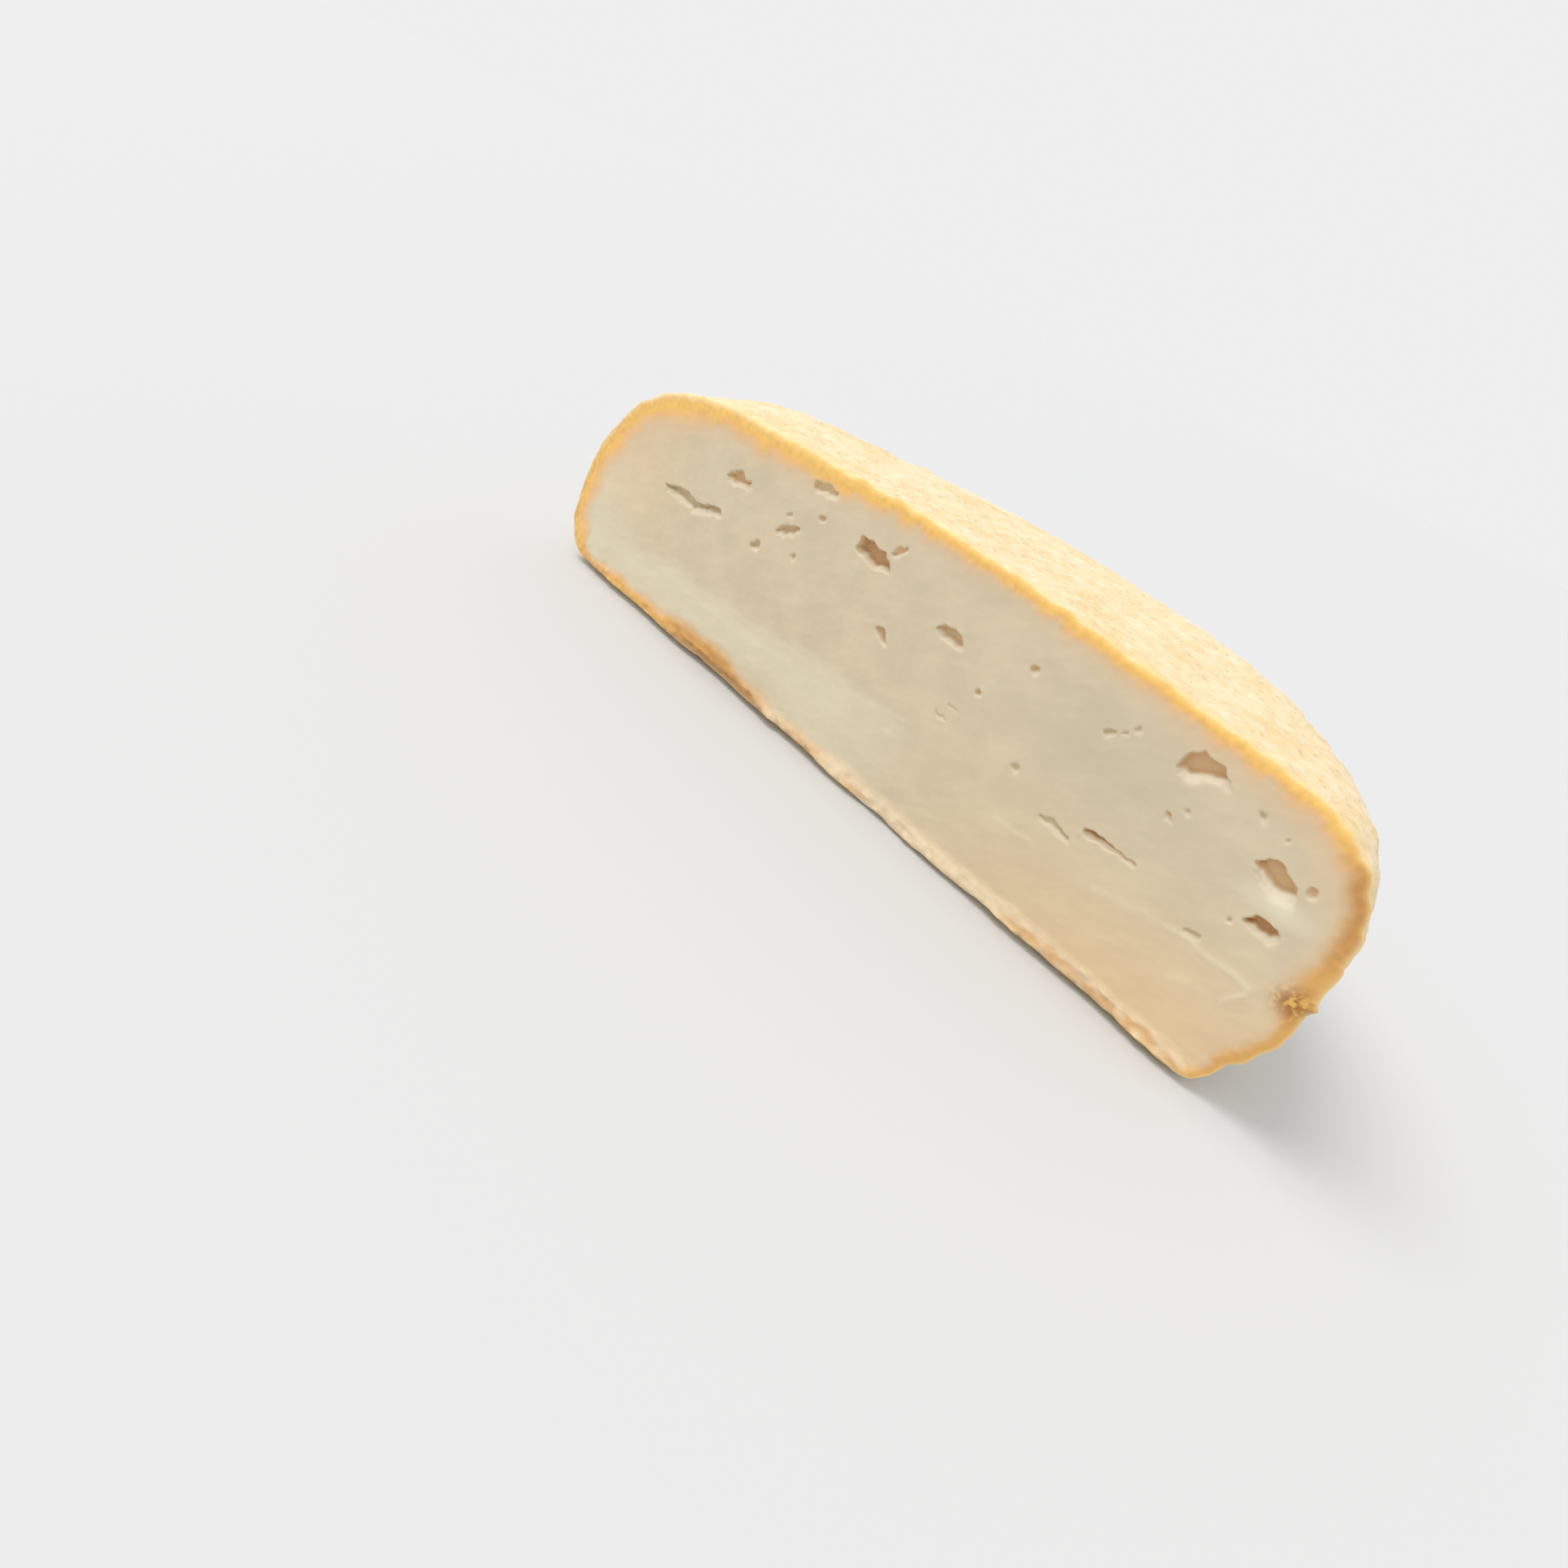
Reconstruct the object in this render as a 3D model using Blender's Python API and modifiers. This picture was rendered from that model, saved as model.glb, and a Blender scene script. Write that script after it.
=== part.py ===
"""Half of a washed-rind goat cheese wheel, lying flat on its base.

The half wheel rests on z = 0. Its knife-cut face looks towards -Y, the rind curves round towards +Y,
and the origin is the middle of the bounding box at the base. All sizes are in metres.
"""

import math
from dataclasses import dataclass

import bmesh
import bpy
import numpy as np
from mathutils import Matrix, Vector

MM = 0.001

# Wheel
RADIUS = 90.0 * MM
HEIGHT = 51.4 * MM
TOP_DOME = 0.098
TURN_STEPS = 144
PROFILE_POINTS = 42
DENSE_POINTS = 4000
DENSE_STEP = 0.1 * MM
SOFTENING = 2.4 * MM

# Unevenness of the wheel
PLAN_WOBBLE = 0.5 * MM
TOP_WAVE = 0.35 * MM
SIDE_WAVE = 0.4 * MM
RIM_CRINKLE = 0.55 * MM
RIM_CRINKLE_REACH = 6.0 * MM

# Base, which touches the board at a few low spots and rises outside the lines that join them
BASE_RADIUS = 84.0 * MM
LOW_SPOT_RADIUS = 77.0 * MM
LOW_SPOT_ANGLES = np.radians((5.0, 50.0, 90.0, 130.0, 175.0))
LOW_SPOT_GAP = 0.03 * MM
BASE_DISH = 0.15 * MM
BASE_DISH_REACH = 25.0 * MM
BASE_EDGE_SLOPE = 0.13
BASE_BLEND = 3.0 * MM

# Knife cut
KNIFE_MARGIN = 20.0 * MM
KNIFE_COLUMNS = 72
KNIFE_ROWS = (-20.0 * MM, 0.5 * MM, 1.2 * MM, 2.2 * MM, 3.6 * MM, 26.0 * MM, 80.0 * MM)
LIP_OUT = 1.1 * MM
LIP_REACH = 1.6 * MM
CUT_WAVE = 0.25 * MM

# Look
CHEESE_COLOUR = (0.86, 0.72, 0.43, 1.0)
CHEESE_ROUGHNESS = 0.62
SHARP_ANGLE = math.radians(38.0)


@dataclass(frozen=True)
class EndProfile:
    """Side profile of the wheel at one end of the cut, as fractions of the radius."""

    base_radius: float
    widest_height: float
    top_fullness: float
    shoulder_fullness: float
    foot_fullness: float


RIGHT_END = EndProfile(0.940, 0.167, 13.9, 2.92, 1.05)
LEFT_END = EndProfile(0.946, 0.122, 10.4, 1.2, 1.137)


@dataclass(frozen=True)
class Eye:
    """One opening in the paste: place on the cut face, size and turn, in millimetres and degrees."""

    x: float
    z: float
    length: float
    width: float
    depth: float
    turn: float


@dataclass(frozen=True)
class TornEye:
    """Opening torn along straight edges: its corners on the cut face, depth and corner rounding, in millimetres."""

    corners: tuple[tuple[float, float], ...]
    depth: float
    rounding: float


ROUND_EYES = (
    Eye(-57.7, 28.8, 10.8, 1.9, 2.2, 5),
    Eye(-49.2, 29.9, 8.8, 1.8, 2.0, 12),
    Eye(-44.4, 38.9, 6.0, 2.7, 2.4, 17),
    Eye(-23.6, 46.2, 6.3, 1.9, 1.0, 6),
    Eye(-21.7, 41.6, 1.9, 1.3, 1.0, 25),
    Eye(-29.1, 38.6, 2.0, 1.1, 0.7, 26),
    Eye(-28.1, 35.8, 6.0, 1.9, 1.5, 33),
    Eye(-34.3, 29.8, 3.2, 1.5, 1.3, 33),
    Eye(-24.7, 32.3, 1.8, 1.3, 0.7, 27),
    Eye(-8.4, 41.3, 8.0, 4.0, 3.0, -8),
    Eye(-3.1, 44.8, 3.2, 1.5, 1.0, 56),
    Eye(0.5, 30.1, 3.4, 1.8, 1.6, -62),
    Eye(12.6, 37.5, 6.4, 2.4, 2.0, -5),
    Eye(28.7, 40.8, 1.9, 1.3, 1.2, -3),
    Eye(22.3, 32.2, 1.7, 1.3, 1.0, 36),
    Eye(44.3, 39.1, 1.7, 1.2, 1.0, 37),
    Eye(46.4, 41.1, 1.4, 1.0, 0.8, 60),
    Eye(34.6, 25.6, 1.9, 1.4, 0.8, 6),
    Eye(45.7, 20.8, 6.2, 1.2, 0.9, -8),
    Eye(54.1, 24.1, 9.1, 1.1, 1.6, 2),
    Eye(58.5, 33.8, 1.5, 1.1, 0.9, -18),
    Eye(68.5, 42.5, 1.9, 1.3, 0.8, 66),
    Eye(79.6, 37.2, 1.8, 1.2, 1.0, -50),
    Eye(71.2, 21.4, 3.3, 1.4, 0.8, 16),
)

TORN_EYES = (
    TornEye(((54.3, 42.3), (58.1, 45.6), (62.2, 43.4), (56.6, 40.6)), 2.6, 0.6),
    TornEye(((71.4, 36.0), (72.9, 38.7), (78.1, 35.5), (76.9, 34.1)), 2.6, 0.5),
    TornEye(((75.6, 27.5), (76.2, 29.7), (80.2, 28.5), (78.4, 27.0)), 1.8, 0.4),
)

EYE_DETAIL = 2
TORN_BEVEL_STEPS = 2
TORN_NARROWING = 0.7


def clear_scene() -> None:
    """Remove every object that the scene starts with."""
    for obj in list(bpy.data.objects):
        bpy.data.objects.remove(obj, do_unlink=True)


def new_collection(name: str) -> bpy.types.Collection:
    """Add an empty collection to the scene."""
    collection = bpy.data.collections.new(name)
    bpy.context.scene.collection.children.link(collection)
    return collection


def new_object(name: str, mesh: bpy.types.Mesh, collection: bpy.types.Collection) -> bpy.types.Object:
    """Add an object that carries the mesh."""
    obj = bpy.data.objects.new(name, mesh)
    collection.objects.link(obj)
    return obj


def mesh_from_bmesh(name: str, shape: bmesh.types.BMesh) -> bpy.types.Mesh:
    """Turn an edited shape into a mesh."""
    mesh = bpy.data.meshes.new(name)
    shape.to_mesh(mesh)
    shape.free()
    return mesh


def evaluated_mesh(obj: bpy.types.Object) -> bpy.types.Mesh:
    """The mesh of an object with its modifiers worked in."""
    bpy.context.view_layer.update()
    graph = bpy.context.evaluated_depsgraph_get()
    return bpy.data.meshes.new_from_object(obj.evaluated_get(graph))


def as_helper(obj: bpy.types.Object) -> bpy.types.Object:
    """Keep a cutter or guide out of renders."""
    obj.hide_render = True
    obj.display_type = "WIRE"
    return obj


def profile_of(end: EndProfile) -> np.ndarray:
    """Points from the middle of the top, over the shoulder and round the foot to the middle of the base."""
    turn = np.linspace(0.0, math.pi / 2, DENSE_POINTS)
    top_height = HEIGHT / RADIUS
    out = np.sin(turn) ** (2 / end.top_fullness)
    rise = np.cos(turn) ** (2 / end.shoulder_fullness)
    up = end.widest_height + (top_height - end.widest_height) * rise * (1 - TOP_DOME * out**2)
    foot_out = end.base_radius + (1 - end.base_radius) * np.cos(turn) ** (2 / end.foot_fullness)
    foot_up = end.widest_height * (1 - np.sin(turn) ** (2 / end.foot_fullness))
    outline = np.concatenate([
        np.column_stack([out, up]),
        np.column_stack([foot_out, foot_up])[1:],
        [[0.0, 0.0]],
    ])
    return spaced_evenly(softened(outline * RADIUS), end.base_radius * RADIUS)


def softened(outline: np.ndarray) -> np.ndarray:
    """Round off the outline, as a soft cheese settles, and leave the middle of the base flat."""
    run = np.concatenate([[0.0], np.cumsum(np.linalg.norm(np.diff(outline, axis=0), axis=1))])
    even = np.arange(0.0, run[-1], DENSE_STEP)
    points = np.column_stack([np.interp(even, run, outline[:, axis]) for axis in (0, 1)])
    reach = round(4 * SOFTENING / DENSE_STEP)
    offsets = np.arange(-reach, reach + 1) * DENSE_STEP
    weights = np.exp(-(offsets**2) / (2 * SOFTENING**2))
    weights = weights / weights.sum()
    mirror = np.array([-1.0, 1.0])
    before = points[reach:0:-1] * mirror
    after = points[-2:-2 - reach:-1] * mirror
    padded = np.concatenate([before, points, after])
    soft = np.column_stack([np.convolve(padded[:, axis], weights, mode="valid") for axis in (0, 1)])
    soft[0, 0] = 0.0
    soft[-1] = 0.0
    return soft


def spaced_evenly(outline: np.ndarray, base_radius: float) -> np.ndarray:
    """Pick the profile points, close together on the shoulder and foot and far apart near the axis."""
    steps = np.linalg.norm(np.diff(outline, axis=0), axis=1)
    middle = (outline[1:, 0] + outline[:-1, 0]) / 2
    density = np.where(middle > 0.8 * base_radius, 1.0, 0.25)
    run = np.concatenate([[0.0], np.cumsum(steps * density)])
    wanted = np.linspace(0.0, run[-1], PROFILE_POINTS)
    return np.column_stack([np.interp(wanted, run, outline[:, axis]) for axis in (0, 1)])


def turned_wheel(profile: np.ndarray, collection: bpy.types.Collection) -> bpy.types.Object:
    """Turn the profile about the upright axis into a closed wheel."""
    shape = bmesh.new()
    points = [shape.verts.new((out, 0.0, up)) for out, up in profile]
    for start, end in zip(points, points[1:]):
        shape.edges.new((start, end))
    guide = as_helper(new_object("wheel_profile", mesh_from_bmesh("wheel_profile", shape), collection))
    screw = guide.modifiers.new("turn", "SCREW")
    screw.axis = "Z"
    screw.angle = 2 * math.pi
    screw.steps = TURN_STEPS
    screw.render_steps = TURN_STEPS
    screw.use_merge_vertices = True
    screw.merge_threshold = 1e-5
    screw.use_smooth_shade = True
    return as_helper(new_object("wheel", evaluated_mesh(guide), collection))


def waves(angle: np.ndarray, turns: tuple[tuple[float, float, float], ...]) -> np.ndarray:
    """Sum of (share, count, phase) sine waves round the wheel."""
    return sum(share * np.sin(count * angle + phase) for share, count, phase in turns)


def outside_spots(x: np.ndarray, y: np.ndarray, spots: np.ndarray) -> np.ndarray:
    """Distance outside the flat area whose corners are the low spots, and less than nothing inside it."""
    furthest = np.full(len(x), -RADIUS)
    for start, end in zip(spots, np.roll(spots, -1, axis=0)):
        along = (end - start) / np.linalg.norm(end - start)
        furthest = np.maximum(furthest, (x - start[0]) * along[1] - (y - start[1]) * along[0])
    return furthest


def drawn_in(angle: np.ndarray) -> np.ndarray:
    """How far the straight line between two low spots lies from the axis, as a share of the circle through them."""
    share = np.ones(len(angle))
    for start, end in zip(LOW_SPOT_ANGLES, LOW_SPOT_ANGLES[1:]):
        middle = (start + end) / 2
        between = (angle > start) & (angle < end)
        share[between] = math.cos((end - start) / 2) / np.cos(angle[between] - middle)
    return share


def settle_base(points: np.ndarray, row: np.ndarray, right: np.ndarray) -> None:
    """Set the base down on its low spots: flat between them and rising outside."""
    half = len(right) // 2
    spot_row = np.abs(right[half:, 0] - LOW_SPOT_RADIUS).argmin() + half
    spot_out = right[spot_row, 0]
    spots = spot_out * np.column_stack([np.cos(LOW_SPOT_ANGLES), np.sin(LOW_SPOT_ANGLES)])
    out = np.hypot(points[:, 0], points[:, 1])
    angle = np.arctan2(points[:, 1], points[:, 0])
    on_ring = row == spot_row
    points[on_ring, :2] *= (spot_out / out[on_ring])[:, None]
    inner = np.clip((BASE_RADIUS - out) / (BASE_RADIUS - spot_out), 0, 1) * (row > half)
    inner = np.where(on_ring, 1.0, inner)
    points[:, :2] *= (1 + (drawn_in(angle) - 1) * inner)[:, None]
    outside = outside_spots(points[:, 0], points[:, 1], spots)
    dish = LOW_SPOT_GAP + BASE_DISH * (1 - np.exp(np.minimum(outside, 0) / BASE_DISH_REACH))
    rise = np.where(outside > 0, BASE_EDGE_SLOPE * outside + LOW_SPOT_GAP, dish)
    to_spot = np.linalg.norm(points[:, None, :2] - spots[None], axis=2).min(axis=1)
    rise = np.where((to_spot < LOW_SPOT_GAP) & on_ring, 0.0, rise)
    points[:, 2] = np.maximum(points[:, 2], 0.0) + rise * np.exp(-points[:, 2] / BASE_BLEND)


def press_by_hand(wheel: bpy.types.Object, right: np.ndarray, left: np.ndarray) -> None:
    """Shift the true turned wheel to the uneven one: two different ends, soft waves, a crinkled foot."""
    count = len(wheel.data.vertices)
    points = np.empty(count * 3)
    wheel.data.vertices.foreach_get("co", points)
    points = points.reshape(-1, 3)
    out = np.hypot(points[:, 0], points[:, 1])
    angle = np.arctan2(points[:, 1], points[:, 0])
    apart = np.hypot(out[:, None] - right[None, :, 0], points[:, 2][:, None] - right[None, :, 1])
    row = apart.argmin(axis=1)
    share = (1 - np.cos(angle)) / 2
    new_out = right[row, 0] * (1 - share) + left[row, 0] * share
    new_up = right[row, 1] * (1 - share) + left[row, 1] * share

    rim = (new_out / RADIUS) ** 3
    height = new_up / HEIGHT
    behind = np.abs(np.sin(angle))
    plan = PLAN_WOBBLE * behind * waves(angle, ((0.6, 2, 0.4), (0.4, 3, 1.9)))
    side = SIDE_WAVE * waves(angle, ((0.5, 7, 0.8), (0.3, 11, 2.6), (0.2, 17, 4.0)))
    side = side * np.sin(math.pi * np.clip(height, 0, 1)) * np.cos(2.4 * height + waves(angle, ((1.2, 4, 0.2),)))
    crinkle = RIM_CRINKLE * waves(angle, ((0.45, 13, 0.3), (0.3, 23, 1.1), (0.25, 31, 2.7)))
    crinkle = crinkle * np.exp(-new_up / RIM_CRINKLE_REACH)
    moved_out = new_out + rim * (plan + side + crinkle)

    x = moved_out * np.cos(angle)
    y = moved_out * np.sin(angle)
    swell = np.sin(x / (19 * MM) + 1.3) * np.cos(y / (23 * MM) + 0.4)
    swell = swell + 0.6 * np.sin(x / (11 * MM) - y / (13 * MM) + 0.7)
    moved_up = new_up + TOP_WAVE * swell * np.clip(height, 0, 1) ** 4
    moved_up = np.where(row > len(right) // 2, new_up, moved_up)
    points = np.column_stack([x, y, moved_up])
    settle_base(points, row, right)
    wheel.data.vertices.foreach_set("co", points.ravel())
    wheel.data.update()


def cut_surface(x: float, z: float) -> float:
    """Depth of the knife cut at a place on the face: faint waves, and a thin lip of rind pushed out at the foot."""
    wave = CUT_WAVE * (0.6 * math.sin(x / (27 * MM) + 0.9) + 0.4 * math.sin(x / (12 * MM) + z / (15 * MM)))
    ragged = 0.55 + 0.25 * math.sin(x / (3.9 * MM) + 0.5) + 0.2 * math.sin(x / (7.3 * MM) + 2.2)
    lip = LIP_OUT * ragged * math.exp(-((z - 1.2 * MM) / LIP_REACH) ** 2)
    return wave - lip


def knife_block(collection: bpy.types.Collection) -> bpy.types.Object:
    """Block in front of the cut, its back face shaped like the cut surface."""
    reach = RADIUS + KNIFE_MARGIN
    shape = bmesh.new()
    bmesh.ops.create_grid(shape, x_segments=KNIFE_COLUMNS, y_segments=len(KNIFE_ROWS) - 1, size=0.5)
    for vertex in shape.verts:
        x = vertex.co.x * 2 * reach
        row = round((vertex.co.y + 0.5) * (len(KNIFE_ROWS) - 1))
        z = KNIFE_ROWS[row]
        vertex.co = Vector((x, cut_surface(x, z), z))
    bmesh.ops.recalc_face_normals(shape, faces=shape.faces)
    front = bmesh.ops.extrude_face_region(shape, geom=list(shape.faces))
    for item in front["geom"]:
        if isinstance(item, bmesh.types.BMVert):
            item.co.y = -reach - KNIFE_MARGIN
    bmesh.ops.recalc_face_normals(shape, faces=shape.faces)
    return as_helper(new_object("knife", mesh_from_bmesh("knife", shape), collection))


def eye_placement(eye: Eye) -> Matrix:
    """Where an eye of unit size goes on the cut face."""
    x = eye.x * MM
    z = eye.z * MM
    place = Matrix.Translation((x, cut_surface(x, z), z))
    turn = Matrix.Rotation(-math.radians(eye.turn), 4, "Y")
    size = Matrix.Diagonal((eye.length / 2 * MM, eye.depth * MM, eye.width / 2 * MM, 1.0))
    return place @ turn @ size


def round_eye(name: str, eye: Eye, collection: bpy.types.Collection) -> bpy.types.Object:
    """Egg-shaped cutter, a little uneven, half sunk in the face."""
    shape = bmesh.new()
    bmesh.ops.create_icosphere(shape, subdivisions=EYE_DETAIL, radius=1.0)
    for vertex in shape.verts:
        spot = vertex.co.copy()
        vertex.co *= 1.0 + 0.09 * math.sin(3.1 * spot.x + eye.x) * math.cos(2.7 * spot.z + eye.z)
    bmesh.ops.transform(shape, matrix=eye_placement(eye), verts=shape.verts)
    return as_helper(new_object(name, mesh_from_bmesh(name, shape), collection))


def torn_eye(name: str, eye: TornEye, collection: bpy.types.Collection) -> bpy.types.Object:
    """Cutter with straight edges and broken corners, narrower at the bottom of the opening."""
    shape = bmesh.new()
    bmesh.ops.create_circle(shape, cap_ends=True, segments=len(eye.corners), radius=1.0)
    shape.verts.ensure_lookup_table()
    for vertex, (x, z) in zip(shape.verts, eye.corners):
        vertex.co = Vector((x, cut_surface(x * MM, z * MM) / MM - eye.depth, z))
    middle = sum((vertex.co for vertex in shape.verts), Vector()) / len(shape.verts)
    sunk = bmesh.ops.extrude_face_region(shape, geom=list(shape.faces))
    for item in sunk["geom"]:
        if isinstance(item, bmesh.types.BMVert):
            item.co = middle + (item.co - middle) * TORN_NARROWING
            item.co.y = middle.y + 2 * eye.depth
    bmesh.ops.recalc_face_normals(shape, faces=shape.faces)
    bmesh.ops.bevel(
        shape,
        geom=list(shape.edges),
        offset=eye.rounding,
        segments=TORN_BEVEL_STEPS,
        profile=0.5,
        affect="EDGES",
    )
    bmesh.ops.transform(shape, matrix=Matrix.Scale(MM, 4), verts=shape.verts)
    return as_helper(new_object(name, mesh_from_bmesh(name, shape), collection))


def cut_away(obj: bpy.types.Object, name: str, cutters: bpy.types.Collection) -> None:
    """Take every cutter of a collection out of an object."""
    cut = obj.modifiers.new(name, "BOOLEAN")
    cut.operation = "DIFFERENCE"
    cut.operand_type = "COLLECTION"
    cut.collection = cutters
    cut.solver = "EXACT"


def cheese_material() -> bpy.types.Material:
    """Matt cream of the rind and paste."""
    material = bpy.data.materials.new("washed_rind_goat_cheese")
    material.use_nodes = True
    surface = material.node_tree.nodes["Principled BSDF"]
    surface.inputs["Base Color"].default_value = CHEESE_COLOUR
    surface.inputs["Roughness"].default_value = CHEESE_ROUGHNESS
    surface.inputs["Metallic"].default_value = 0.0
    return material


def centre_on_base(mesh: bpy.types.Mesh) -> None:
    """Move the half so that the origin is the middle of its bounding box at the base."""
    points = np.empty(len(mesh.vertices) * 3)
    mesh.vertices.foreach_get("co", points)
    points = points.reshape(-1, 3)
    low = points.min(axis=0)
    high = points.max(axis=0)
    mesh.transform(Matrix.Translation((-(low[0] + high[0]) / 2, -(low[1] + high[1]) / 2, -low[2])))


def main() -> None:
    """Build the half wheel."""
    clear_scene()
    goat_cheese = new_collection("goat_cheese")
    guides = new_collection("guides")
    knife = new_collection("knife_cutter")
    openings = new_collection("eye_cutters")

    right = profile_of(RIGHT_END)
    wheel = turned_wheel(right, guides)
    press_by_hand(wheel, right, profile_of(LEFT_END))
    knife_block(knife)
    for number, eye in enumerate(ROUND_EYES):
        round_eye(f"eye_{number:02d}", eye, openings)
    for number, eye in enumerate(TORN_EYES):
        torn_eye(f"torn_eye_{number}", eye, openings)
    cut_away(wheel, "knife_cut", knife)
    cut_away(wheel, "eyes", openings)

    half = new_object("cheese_half", evaluated_mesh(wheel), goat_cheese)
    centre_on_base(half.data)
    half.data.materials.clear()
    half.data.materials.append(cheese_material())
    half.data.shade_smooth()
    half.data.set_sharp_from_angle(angle=SHARP_ANGLE)


main()
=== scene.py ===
"""Half of a washed-rind goat cheese wheel, dressed with its cloth-marked rind and its cut, eyed paste.

All shapes are worked out in millimetres in the wheel's own frame, whose origin is the middle of the
whole wheel at the base and whose cut lies in the plane y = 0. They are set into the part's frame, in
metres, when the mesh is made.
"""

import logging
import math
from dataclasses import dataclass, field
from enum import Enum
from typing import Any

import bpy
import numpy as np
from mathutils import Matrix, Vector
from mathutils.geometry import delaunay_2d_cdt
from mathutils.kdtree import KDTree


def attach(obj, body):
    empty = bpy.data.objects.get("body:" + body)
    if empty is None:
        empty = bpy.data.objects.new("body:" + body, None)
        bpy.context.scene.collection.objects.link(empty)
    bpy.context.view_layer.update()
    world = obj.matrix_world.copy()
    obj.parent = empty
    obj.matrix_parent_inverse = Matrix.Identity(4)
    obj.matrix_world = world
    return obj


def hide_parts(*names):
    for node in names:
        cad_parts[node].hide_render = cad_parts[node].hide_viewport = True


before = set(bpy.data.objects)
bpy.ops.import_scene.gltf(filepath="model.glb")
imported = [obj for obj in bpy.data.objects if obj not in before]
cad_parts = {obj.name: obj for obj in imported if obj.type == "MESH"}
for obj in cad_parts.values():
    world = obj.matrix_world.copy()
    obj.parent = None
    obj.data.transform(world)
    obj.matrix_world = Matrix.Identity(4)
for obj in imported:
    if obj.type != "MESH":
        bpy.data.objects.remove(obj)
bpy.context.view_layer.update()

log = logging.getLogger("goat_cheese")

MM = 0.001
MM_PER_M = 1000.0
FAR = 1e3
CLOTH_TURN = -math.radians(24)


# Colour and small maths


def linear_rgba(hex_colour: str) -> tuple[float, float, float, float]:
    """Turn an sRGB hex colour into linear light.

    Args:
        hex_colour: colour such as "#D3C7AA".

    Returns:
        Red, green, blue and full alpha, as a shader socket takes them.
    """
    digits = hex_colour.lstrip("#")
    parts = [int(digits[i : i + 2], 16) / 255 for i in (0, 2, 4)]
    linear = [c / 12.92 if c <= 0.04045 else ((c + 0.055) / 1.055) ** 2.4 for c in parts]
    return linear[0], linear[1], linear[2], 1.0


def smooth_step(low: float, high: float, value: np.ndarray) -> np.ndarray:
    """Ease from 0 at low to 1 at high.

    Args:
        low: value that gives 0.
        high: value that gives 1, which may be under low.
        value: numbers to ease.

    Returns:
        Numbers from 0 to 1.
    """
    share = np.clip((value - low) / (high - low), 0, 1)
    return share * share * (3 - 2 * share)


@dataclass(frozen=True)
class Ripple:
    """Smooth random relief made of sine waves that run in random directions."""

    wavelength: float
    seed: int
    height: float = 1.0
    waves: int = 16
    spread: float = 0.4

    def at(self, across: np.ndarray, along: np.ndarray) -> np.ndarray:
        """Read the relief at many places.

        Args:
            across: first coordinate, in millimetres.
            along: second coordinate, in millimetres.

        Returns:
            Heights that vary by about the ripple's own height either side of nothing.
        """
        rng = np.random.default_rng(self.seed)
        heading = rng.uniform(0, 2 * math.pi, self.waves)
        length = self.wavelength * np.exp(rng.uniform(-self.spread, self.spread, self.waves))
        phase = rng.uniform(0, 2 * math.pi, self.waves)
        total = np.zeros(np.shape(across))
        for turn, span, start in zip(heading, length, phase):
            run = across * math.cos(turn) + along * math.sin(turn)
            total += np.sin(run * 2 * math.pi / span + start)
        return self.height * (total / math.sqrt(self.waves / 2))


@dataclass(frozen=True)
class Spot:
    """Soft patch: its middle and how far it reaches across and up, in millimetres."""

    across: float
    up: float
    half_width: float
    half_height: float

    def at(self, across: np.ndarray, up: np.ndarray) -> np.ndarray:
        """Strength at many places: one in the middle, nothing far away."""
        aside = ((across - self.across) / self.half_width) ** 2
        return np.exp(-aside - ((up - self.up) / self.half_height) ** 2)


def sum_of_waves(angle: np.ndarray, waves: tuple[tuple[float, int, float], ...]) -> np.ndarray:
    """Add up waves round the wheel.

    Args:
        angle: angles round the axis.
        waves: height, number of waves in a whole turn and start of each.

    Returns:
        The sum at each angle.
    """
    total = np.zeros(np.shape(angle))
    for height, count, start in waves:
        total += height * np.sin(count * angle + start)
    return total


def from_stretch(
    x: np.ndarray, z: np.ndarray, start: tuple[float, float], end: tuple[float, float]
) -> tuple[np.ndarray, np.ndarray]:
    """Measure from places to a straight stretch.

    Args:
        x: places along the cut.
        z: heights.
        start: where the stretch starts.
        end: where it ends.

    Returns:
        How far along the stretch its nearest place lies, from 0 to 1, and the distance to it.
    """
    (ax, az), (bx, bz) = start, end
    dx, dz = bx - ax, bz - az
    share = np.clip(((x - ax) * dx + (z - az) * dz) / (dx * dx + dz * dz), 0, 1)
    return share, np.hypot(x - ax - share * dx, z - az - share * dz)


def middle_of(points: tuple[tuple[float, ...], ...]) -> tuple[float, float]:
    """Middle of some points, by their first two numbers."""
    return sum(p[0] for p in points) / len(points), sum(p[1] for p in points) / len(points)


def run_along(line: np.ndarray) -> np.ndarray:
    """Distance of each point of a line from its start, along the line."""
    return np.concatenate([[0.0], np.cumsum(np.linalg.norm(np.diff(line, axis=0), axis=1))])


# Wheel


@dataclass(frozen=True)
class EndProfile:
    """Side profile at one end of the cut, as fractions of the radius, and its softening in millimetres."""

    base_radius: float
    widest_height: float
    top_fullness: float
    shoulder_fullness: float
    foot_fullness: float
    softening: float


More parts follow.
